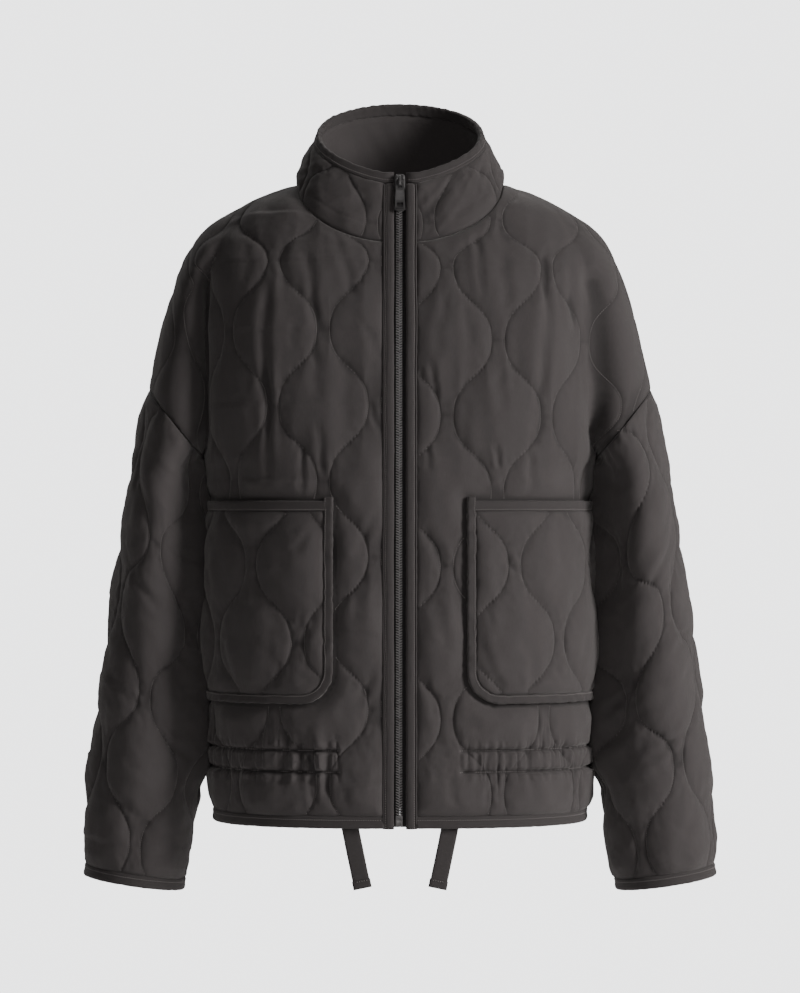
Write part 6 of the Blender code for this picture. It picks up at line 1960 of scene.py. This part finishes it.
# %% Bridge
BRIDGE_LOW, BRIDGE_TOP, BRIDGE_FOOT, BRIDGE_OUT, BRIDGE_WIDE = -4.5, 5.5, 2.6, 8.2, 2.2
bridge = start_cube("slider_bridge", (BRIDGE_WIDE, BRIDGE_TOP - BRIDGE_LOW, BRIDGE_OUT - BRIDGE_FOOT),
                    (0, (BRIDGE_TOP + BRIDGE_LOW) / 2, (BRIDGE_OUT + BRIDGE_FOOT) / 2))
edit(True)
choose(bridge, "EDGE", lambda at, way: abs(way.x) > 0.9 and at.z > 7)
bevel_chosen(1.7, 4)
choose(bridge, "FACE", lambda at, way: abs(way.x) > 0.9)
inset_chosen(1.2, each=True)
bpy.ops.mesh.bridge_edge_loops()
edit(False)
parts.append(soften(bridge, 0.28))


def finish_on_slider(name, pieces, node, body):
    path, out, _ = front_frame([SLIDER_Z])
    for piece in pieces:
        piece.matrix_world = place_of(path[0], out[0])
    finish_hard(joined(name, pieces), PAINTED, body, node)


finish_on_slider("slider_cast", parts, "zip_slider", "jacket")

# %% [markdown]
# A flat tab that widens downwards, with a ring round the bridge, a shallow panel and a window. It swings, so it
# rides on its own body. The box is cut at a few heights first, which gives the rows that are then widened.

# %% Pull tab
PULL_THICK, PULL_WIDE, PIVOT_OUT = 1.6, 6.9, 5.2
PULL_TOP, PULL_LOW, PULL_LOW_HALF = 1.1, -29.5, 5.0
PULL_HALF = {0.5: 3.45, -9.0: 4.05, -20.2: 4.6, -29.1: 5.05}  # a height, and half the width there
RING_TOP, RING_BORDER, WINDOW_TOP, WINDOW_BORDER = 0.5, 1.6, -20.2, 1.8
pull = start_cube("pull", (PULL_WIDE, PULL_TOP - PULL_LOW, PULL_THICK), (0, (PULL_TOP + PULL_LOW) / 2, PIVOT_OUT))
edit(True)
for up in PULL_HALF:
    bpy.ops.mesh.select_all(action="SELECT")
    bpy.ops.mesh.bisect(plane_co=(0, up * MM, 0), plane_no=(0, 1, 0))
for up, half in [*PULL_HALF.items(), (PULL_LOW, PULL_LOW_HALF)]:
    choose(pull, "VERT", lambda at, way: abs(at.y - up) < 0.05)
    bpy.ops.transform.resize(value=(2 * half / PULL_WIDE, 1, 1), center_override=(0, up * MM, PIVOT_OUT * MM))
for top, border in ((RING_TOP, RING_BORDER), (WINDOW_TOP, WINDOW_BORDER)):
    choose(pull, "FACE", lambda at, way: abs(way.z) > 0.9 and top - 9.5 < at.y < top)
    inset_chosen(border, each=True)
    bpy.ops.mesh.bridge_edge_loops()
choose(pull, "FACE", lambda at, way: way.z > 0.9 and -19.0 < at.y < -10)
inset_chosen(0.9, -0.22)
choose(pull, "EDGE", lambda at, way: abs(way.z) > 0.9 and at.y < -29.4)
bevel_chosen(0.35, 2)
edit(False)
finish_on_slider("pull_tab", [soften(pull, 0.26)], "zip_pull", "pull")

# %% [markdown]
# The drawcord's ends: flat tapes that come out of the channel, hang behind the hem and show below it. Each is a
# limp flat cord, so its route is a smooth curve of its real length.

# %% The route of a tie
TIE_WIDE, TIE_THICK, TIE_FOLD = 16.0, 1.2, 8.6
TIE_ROUTE = dict(  # from the tip up into the channel: height, way from the middle, and how far behind the front
    z=(-663.0, -608.0, -589.0, -570.0, -540.0),
    x=(35.0, 46.5, 50.0, 53.0, 57.5),
    behind=(5.0, 5.0, 4.9, 3.5, 3.4),
)


def tie_route(steps):
    z = np.linspace(TIE_ROUTE["z"][-1], TIE_ROUTE["z"][0], steps)
    x, behind = along_table(TIE_ROUTE, "x", z), along_table(TIE_ROUTE, "behind", z)
    held = np.maximum(z, HEM_Z)
    u = np.array([FRONT.u_at_x(a, b) for a, b in zip(x, held)])
    flat = np.stack([u, np.maximum(held, HEM_Z + 1)], 1)
    out = unit(normals_of(body_place(FRONT), flat) * [1, 1, 0])
    out *= -np.sign(out[:, 1:2])
    path = FRONT.place(u, held) - out * behind[:, None]
    path[:, 2] = z
    return path, out


print("tie:", round(run_length(tie_route(24)[0])[-1]), "mm")


# %% The tape's section
TIE_HALF_ROWS = 11


def flat_tape(wide, thick):
    half = wide / 2
    across = np.concatenate([np.linspace(-half, half, TIE_HALF_ROWS), np.linspace(half, -half, TIE_HALF_ROWS)])
    front = np.arange(2 * TIE_HALF_ROWS) < TIE_HALF_ROWS
    edge = ramp(half - np.abs(across), 1.0) ** 0.5
    groove = 0.12 * np.exp(-(((half - np.abs(across) - 1.8) / 0.7) ** 2))
    out = -thick / 2 + (np.where(front, 0.0, -thick) + thick / 2) * (0.35 + 0.65 * edge)
    return np.stack([across, out - np.where(front, groove, 0)], 1)


print("tie's section:", len(flat_tape(TIE_WIDE, TIE_THICK)), "points")


# %% Ties
TIE_STEPS, ROUTE_STEPS = 110, 24


def build_tie(side, mirrored, seed):
    name = "tie_" + side
    path, out = tie_route(TIE_STEPS)
    across = unit(np.cross(out, unit(np.gradient(path, axis=0))))
    across *= np.sign(across[:, :1])
    piece = strip(name + "_tape", path, out, across, flat_tape(TIE_WIDE, TIE_THICK), name, seed, mirrored=mirrored,
                  unevenness=0.16)
    low = path[:, 2] < TIE_ROUTE["z"][0] + TIE_FOLD
    fold = strip(name + "_end", path[low] + out[low] * 0.55, out[low], across[low],
                 flat_tape(TIE_WIDE + 1.2, TIE_THICK + 1.1), None, seed + 2, mirrored=mirrored, unevenness=0.1)
    top = int(np.flatnonzero(low)[0]) + 1
    share = np.linspace(-TIE_WIDE / 2 + 1, TIE_WIDE / 2 - 1, 60)[:, None]
    starts, ends = stitch_run(path[top] + out[top] * 0.75 + across[top] * share)
    sewn = stitches(name + "_stitches", starts, ends, np.tile(out[top], (len(starts), 1)), mirrored)
    route, away = tie_route(ROUTE_STEPS)
    route = in_metres(route - away * TIE_THICK / 2, mirrored)
    long = float(run_length(route)[-1])
    tuple(route[0])
    [tuple(p) for p in route]
    print(piece.name, round(long, 3), "m long")


build_tie("left", False, 71.0)
build_tie("right", True, 77.0)
